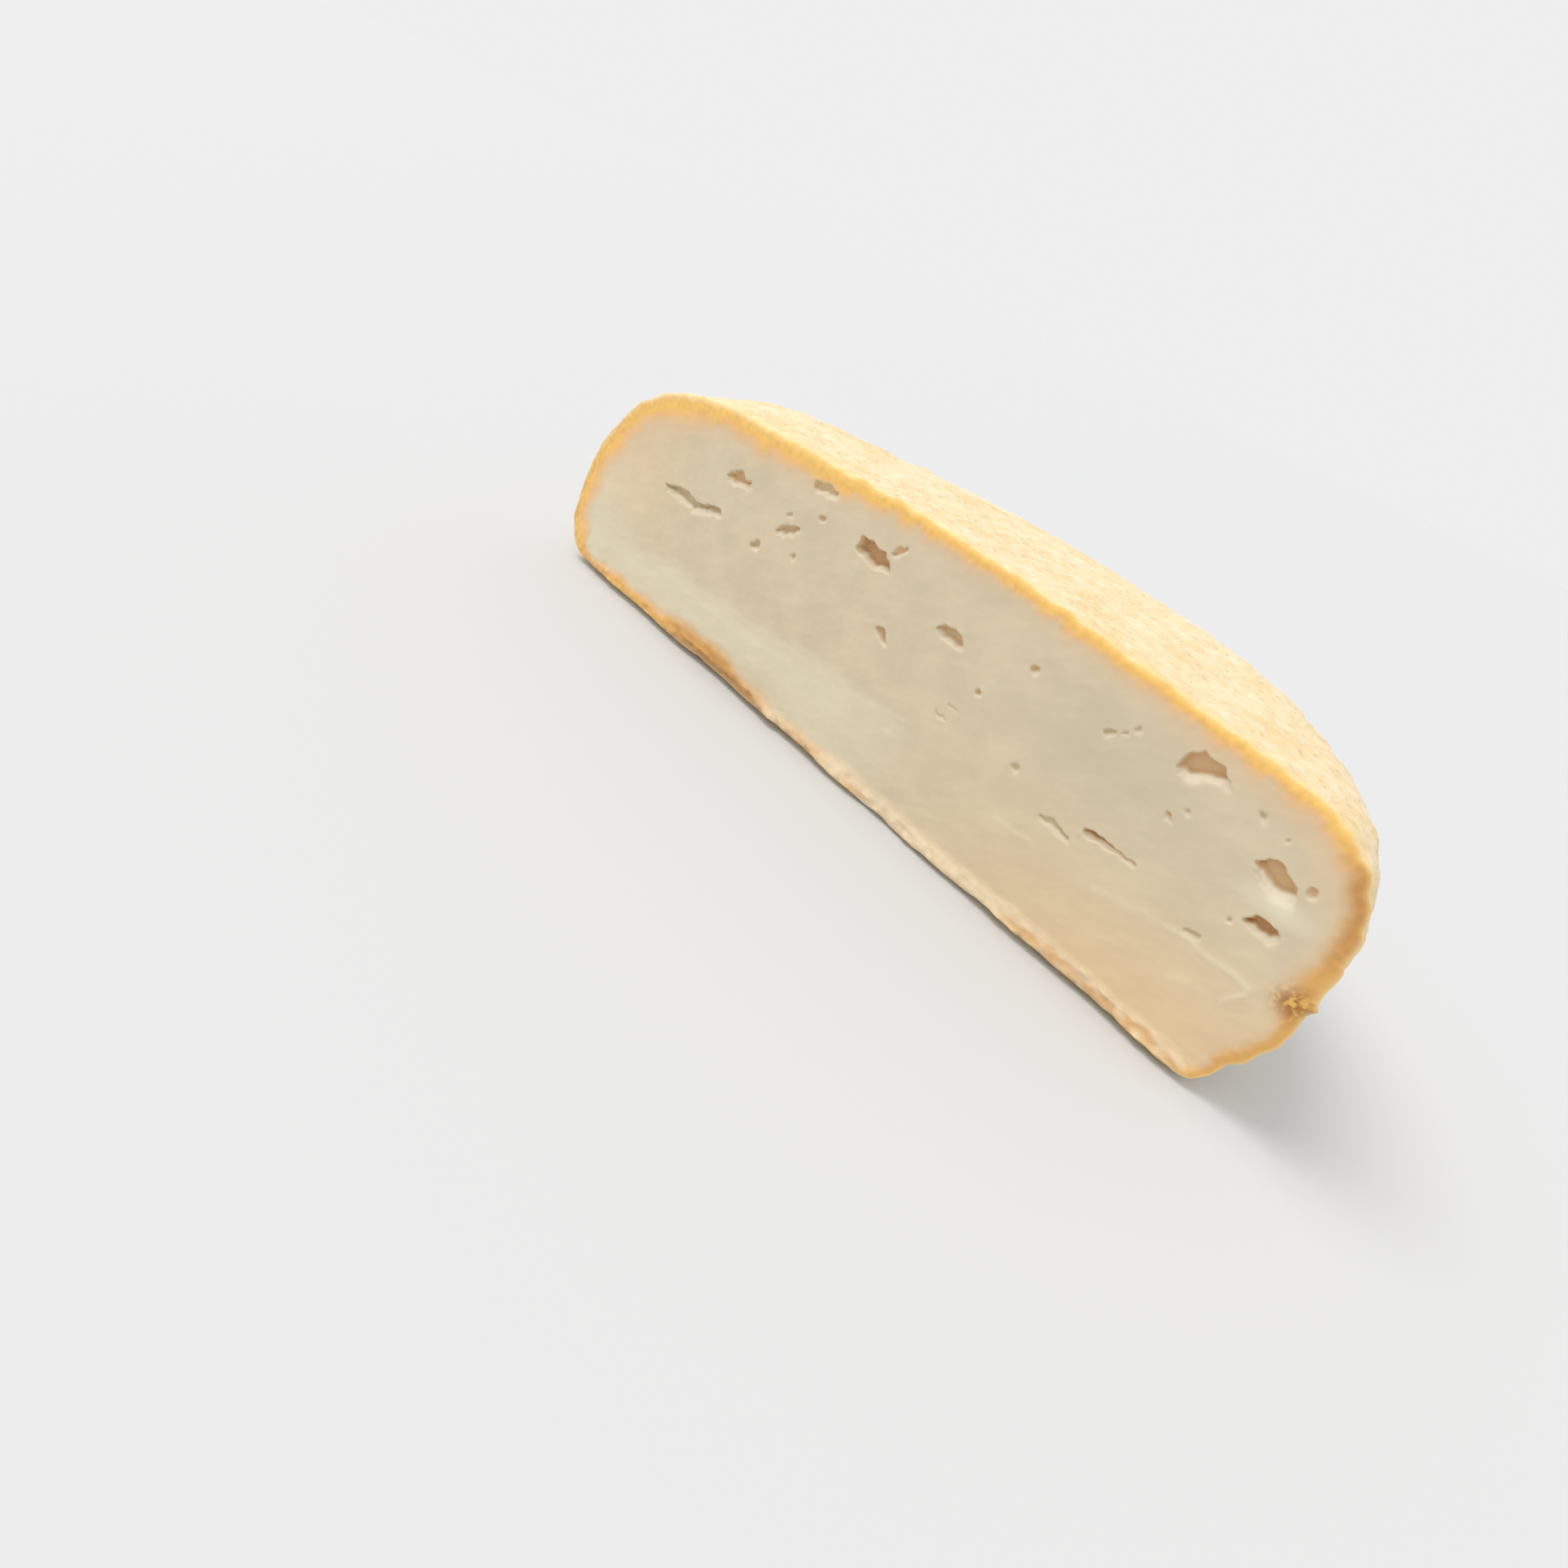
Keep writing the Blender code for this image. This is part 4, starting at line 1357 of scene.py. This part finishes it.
@dataclass
class CheeseHalf:
    """The half wheel: rind, base and cut face in one closed skin."""

    wheel: WheelShape = field(default_factory=WheelShape)
    cut_reach: float = 3.0
    base_step: float = 7.0
    base_reach: float = 80.0
    base_clear: float = 0.4
    foot_step: float = 0.6
    foot_gap: float = 0.6
    foot_tears: tuple[Ripple, Ripple] = (Ripple(9.0, 61, 0.3), Ripple(3.4, 62, 0.2))
    flake: Spot = Spot(23.3, 0.0, 0.8, 1.3)
    flake_out: float = 0.8
    edge_round: float = 0.3
    edge_reach: float = 0.7
    sharp_degrees: float = 48.0
    weld: float = 1e-4

    def build(self) -> bpy.types.Object:
        """Make the half wheel's mesh and dress it.

        Returns:
            The finished piece in the part's frame.
        """
        rind = Rind(self.wheel)
        rind.build()
        rows, columns, _ = rind.grid.shape
        log.info("rind: %d by %d points", rows, columns)
        foot = self.foot_line()
        face_loop = self.face_loop(rind.grid, foot)
        face = CutFace()
        face.build(face_loop)
        log.info("cut face: %d points, %d eyes", len(face.points), len(EYES))
        base_points, base_faces = self.base(rind.grid[-1], foot)

        face_x, face_z = face.points[:, 0], face.points[:, 1]
        edge, near = nearest_on_line(face.points, face_loop)
        edge[: len(face_loop)] = 0.0
        relief, values = face.relief(face_x, face_z, edge)
        values.update(Soak().values(face_x, face_z, edge, near))
        face_points = np.column_stack([face_x, np.zeros(len(face_x)), face_z])
        outer = np.concatenate([rind.grid.reshape(-1, 3), base_points])
        points = np.concatenate([outer, face_points])
        points = self.foot_crumbs(points)
        points[:, 1] += self.edge_rounding(points, edge)
        fade = np.exp(-points[:, 1] / self.cut_reach)
        points[:, 1] += self.wheel.cut_depth(points[:, 0], points[:, 2]) * fade
        points[len(outer) :, 1] += relief * smooth_step(0.0, 0.5, edge)

        faces = np.concatenate([
            self.grid_faces(rows, columns),
            base_faces + rows * columns,
            face.faces + len(outer),
        ])
        on_cut = np.zeros(len(faces), bool)
        on_cut[-len(face.faces) :] = True
        cloth = np.concatenate([rind.cloth.reshape(-1, 2), base_points[:, :2], face.points])
        named = {name: np.concatenate([np.zeros(len(outer)), value]) for name, value in values.items()}
        named["edge"] = np.concatenate([outer[:, 1], np.zeros(len(face_points))])
        return self.mesh_object(points, faces, on_cut, cloth, named)

    def foot_crumbs(self, points: np.ndarray) -> np.ndarray:
        """Tear the lip at the foot of the cut unevenly, and bend out the flake at its right end.

        Args:
            points: the skin's points.

        Returns:
            The points, some of them raised or pushed out a little.
        """
        x, y, z = points.T
        uneven = 0.1 + sum(ripple.at(x, 0 * x) for ripple in self.foot_tears)
        torn = np.interp(x, FOOT_LIP[0], FOOT_LIP[4]) + self.foot_gap * np.clip(uneven, 0, 1)
        raised = torn * np.exp(-z / 1.5) * np.exp(-y / 1.6)
        flake = self.flake_out * self.flake.at(z, y) * smooth_step(84.0, 88.0, x)
        return np.column_stack([x + flake, y, z + raised])

    def edge_rounding(self, points: np.ndarray, edge: np.ndarray) -> np.ndarray:
        """How far back the cut edge is rounded, above the foot.

        Args:
            points: the skin's points, those of the cut face last.
            edge: distance of each point of the cut face from the cut edge.

        Returns:
            Distances to move each point back.
        """
        rind = np.exp(-points[: -len(edge), 1] / self.edge_reach)
        face = np.clip(1 - edge / self.edge_reach, 0, 1) ** 2
        return self.edge_round * np.concatenate([rind, face]) * smooth_step(3.0, 9.0, points[:, 2])

    def foot_line(self) -> np.ndarray:
        """Places along the foot of the cut, from its right end to its left.

        Returns:
            Distances along the cut.
        """
        count = round(2 * self.wheel.base_ring / self.foot_step)
        return np.linspace(self.wheel.base_ring, -self.wheel.base_ring, count)[1:-1]

    def face_loop(self, grid: np.ndarray, foot: np.ndarray) -> np.ndarray:
        """Outline of the cut face, anticlockwise as seen from in front of it.

        Args:
            grid: the rind's points.
            foot: places along the foot of the cut.

        Returns:
            Rows of (x, z), from the middle of the top down the left end, along the foot and up the right end.
        """
        left = grid[:, -1][:, [0, 2]]
        right = grid[:, 0][:, [0, 2]]
        line = foot[::-1]
        bottom = np.column_stack([line, self.wheel.base_height(line, np.zeros(len(line)))])
        return np.concatenate([left, bottom, right[:0:-1]])

    def base(self, ring: np.ndarray, foot: np.ndarray) -> tuple[np.ndarray, np.ndarray]:
        """The underside inside the base ring.

        Args:
            ring: last row of the rind, from the right end of the cut to the left.
            foot: places along the foot of the cut.

        Returns:
            Points and triangles that face down.
        """
        line = foot[::-1]
        bottom = np.column_stack([line, np.zeros(len(line))])
        loop = np.concatenate([ring[:, :2], bottom])
        step, reach = self.base_step, self.base_reach
        x, y = np.meshgrid(np.arange(-reach, reach + 1, step), np.arange(step / 2, reach, step))
        inner = np.column_stack([x.ravel(), y.ravel()])
        inner = inner[inside_loop(inner, loop)]
        inner = inner[nearest_on_line(inner, loop)[0] > step * self.base_clear]
        places, faces = filled(loop, inner)
        height = self.wheel.base_height(places[:, 0], places[:, 1])
        height[: len(ring)] = ring[:, 2]
        return np.column_stack([places, height]), faces[:, ::-1]

    def grid_faces(self, rows: int, columns: int) -> np.ndarray:
        """Triangles of the rind's grid, facing out.

        Args:
            rows: rows from the top down.
            columns: points round each row.

        Returns:
            Rows of three point numbers.
        """
        number = np.arange(rows * columns).reshape(rows, columns)
        a, b = number[:-1, :-1].ravel(), number[1:, :-1].ravel()
        c, d = number[1:, 1:].ravel(), number[:-1, 1:].ravel()
        return np.concatenate([np.column_stack([a, b, c]), np.column_stack([a, c, d])])

    def mesh_object(
        self,
        points: np.ndarray,
        faces: np.ndarray,
        on_cut: np.ndarray,
        cloth: np.ndarray,
        named: dict[str, np.ndarray],
    ) -> bpy.types.Object:
        """Weld the parts of the skin into one closed mesh and give it its finishes.

        Args:
            points: places in the wheel's frame, in millimetres.
            faces: triangles.
            on_cut: true for each triangle of the cut face.
            cloth: cloth coordinates of each point.
            named: value of each point for the finishes.

        Returns:
            The object.
        """
        keys = np.round(points / self.weld).astype(np.int64)
        _, first, index = np.unique(keys, axis=0, return_index=True, return_inverse=True)
        index = index.reshape(-1)
        last = np.zeros(len(first), int)
        last[index] = np.arange(len(points))
        faces = index[faces]
        whole = (faces != np.roll(faces, 1, axis=1)).all(axis=1)
        faces, on_cut = faces[whole], on_cut[whole]
        shift = np.array([self.wheel.centre_x, self.wheel.centre_y, 0.0])
        places = (points[first] + shift) * MM

        mesh = bpy.data.meshes.new("cheese_half_skin")
        mesh.vertices.add(len(places))
        mesh.vertices.foreach_set("co", places.ravel())
        mesh.loops.add(faces.size)
        mesh.loops.foreach_set("vertex_index", faces.ravel().astype(np.int32))
        mesh.polygons.add(len(faces))
        mesh.polygons.foreach_set("loop_start", np.arange(0, faces.size, 3, dtype=np.int32))
        mesh.polygons.foreach_set("material_index", on_cut.astype(np.int32))
        mesh.update(calc_edges=True)
        mesh.validate()
        for name, value in named.items():
            layer = mesh.attributes.new(name, "FLOAT", "POINT")
            layer.data.foreach_set("value", value[last].astype(np.float32))
        layer = mesh.attributes.new("cloth", "FLOAT_VECTOR", "POINT")
        spread = np.column_stack([cloth[first], np.zeros(len(first))])
        layer.data.foreach_set("vector", spread.astype(np.float32).ravel())
        mesh.materials.append(PressedWashedRind().material())
        mesh.materials.append(KnifeCutPaste().material())
        mesh.shade_smooth()
        mesh.set_sharp_from_angle(angle=math.radians(self.sharp_degrees))
        piece = bpy.data.objects.new("goat_cheese_half", mesh)
        bpy.context.scene.collection.objects.link(piece)
        log.info("cheese half: %d triangles", len(mesh.polygons))
        return piece


# Studio


@dataclass
class Studio:
    """Pale floor, soft light and the camera."""

    floor_size: float = 40.0
    floor_colour: str = "#D3D4D6"
    air_colour: str = "#FFFFFF"
    air_strength: float = 0.86
    key_from: tuple[float, float, float] = (-0.535, -0.128, 0.835)
    key_strength: float = 1.6
    key_colour: str = "#FFFCF6"
    key_spread_degrees: float = 34.0
    lens: float = 20.34
    sensor: float = 36.0
    eye: tuple[float, float, float] = (75.84, -135.30, 83.65)
    right: tuple[float, float, float] = (0.66558, 0.64765, 0.37087)
    up: tuple[float, float, float] = (-0.60260, 0.17318, 0.77903)
    forward: tuple[float, float, float] = (-0.44031, 0.74199, -0.50554)

    def build(self, wheel: WheelShape) -> bpy.types.Object:
        """Make the floor, the light and the camera.

        Args:
            wheel: the cheese, whose frame the camera's place is given in.

        Returns:
            The floor.
        """
        self.light_air()
        self.light_key()
        self.camera(wheel)
        return self.floor()

    def light_air(self) -> None:
        """Even light from all round."""
        world = bpy.data.worlds.new("studio_air")
        world.use_nodes = True
        air = world.node_tree.nodes["Background"]
        air.inputs["Color"].default_value = linear_rgba(self.air_colour)
        air.inputs["Strength"].default_value = self.air_strength
        bpy.context.scene.world = world

    def light_key(self) -> None:
        """Broad soft light from high up on the left, which only grazes the cut."""
        lamp = bpy.data.lights.new("key", "SUN")
        lamp.angle = math.radians(self.key_spread_degrees)
        lamp.energy = self.key_strength
        lamp.color = linear_rgba(self.key_colour)[:3]
        holder = bpy.data.objects.new("key", lamp)
        holder.rotation_euler = (-Vector(self.key_from)).to_track_quat("-Z", "Y").to_euler()
        bpy.context.scene.collection.objects.link(holder)

    def camera(self, wheel: WheelShape) -> None:
        """Set the camera at the photograph's angle, leaning as it leans.

        Args:
            wheel: the cheese, whose frame the camera's place is given in.
        """
        lens = bpy.data.cameras.new("camera")
        lens.lens = self.lens
        lens.sensor_width = self.sensor
        lens.sensor_fit = "HORIZONTAL"
        lens.clip_start = 0.01
        holder = bpy.data.objects.new("camera", lens)
        axes = Matrix((self.right, self.up, [-v for v in self.forward])).transposed().to_4x4()
        place = Vector(self.eye) + Vector((wheel.centre_x, wheel.centre_y, 0.0))
        holder.matrix_world = Matrix.Translation(place * MM) @ axes
        bpy.context.scene.collection.objects.link(holder)
        bpy.context.scene.camera = holder

    def floor(self) -> bpy.types.Object:
        """Lay the pale floor.

        Returns:
            The floor.
        """
        half = self.floor_size / 2
        mesh = bpy.data.meshes.new("floor")
        corners = [(-half, -half, 0), (half, -half, 0), (half, half, 0), (-half, half, 0)]
        mesh.from_pydata(corners, [], [(0, 1, 2, 3)])
        made = bpy.data.materials.new("matt_white_paper")
        made.use_nodes = True
        surface = made.node_tree.nodes["Principled BSDF"]
        surface.inputs["Base Color"].default_value = linear_rgba(self.floor_colour)
        surface.inputs["Roughness"].default_value = 0.9
        mesh.materials.append(made)
        floor = bpy.data.objects.new("floor", mesh)
        bpy.context.scene.collection.objects.link(floor)
        return floor


def main() -> None:
    """Build the cheese and the studio round it."""
    logging.basicConfig(level=logging.INFO, format="%(name)s: %(message)s")
    bpy.context.scene.view_settings.view_transform = "Standard"
    cheese = CheeseHalf()
    piece = cheese.build()
    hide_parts("cheese_half")
    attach(piece, "root")
    log.info("piece: %s", piece.name)
    floor = Studio().build(cheese.wheel)
    log.info("studio: floor, lamps and camera")


if __name__ == "__main__":
    main()
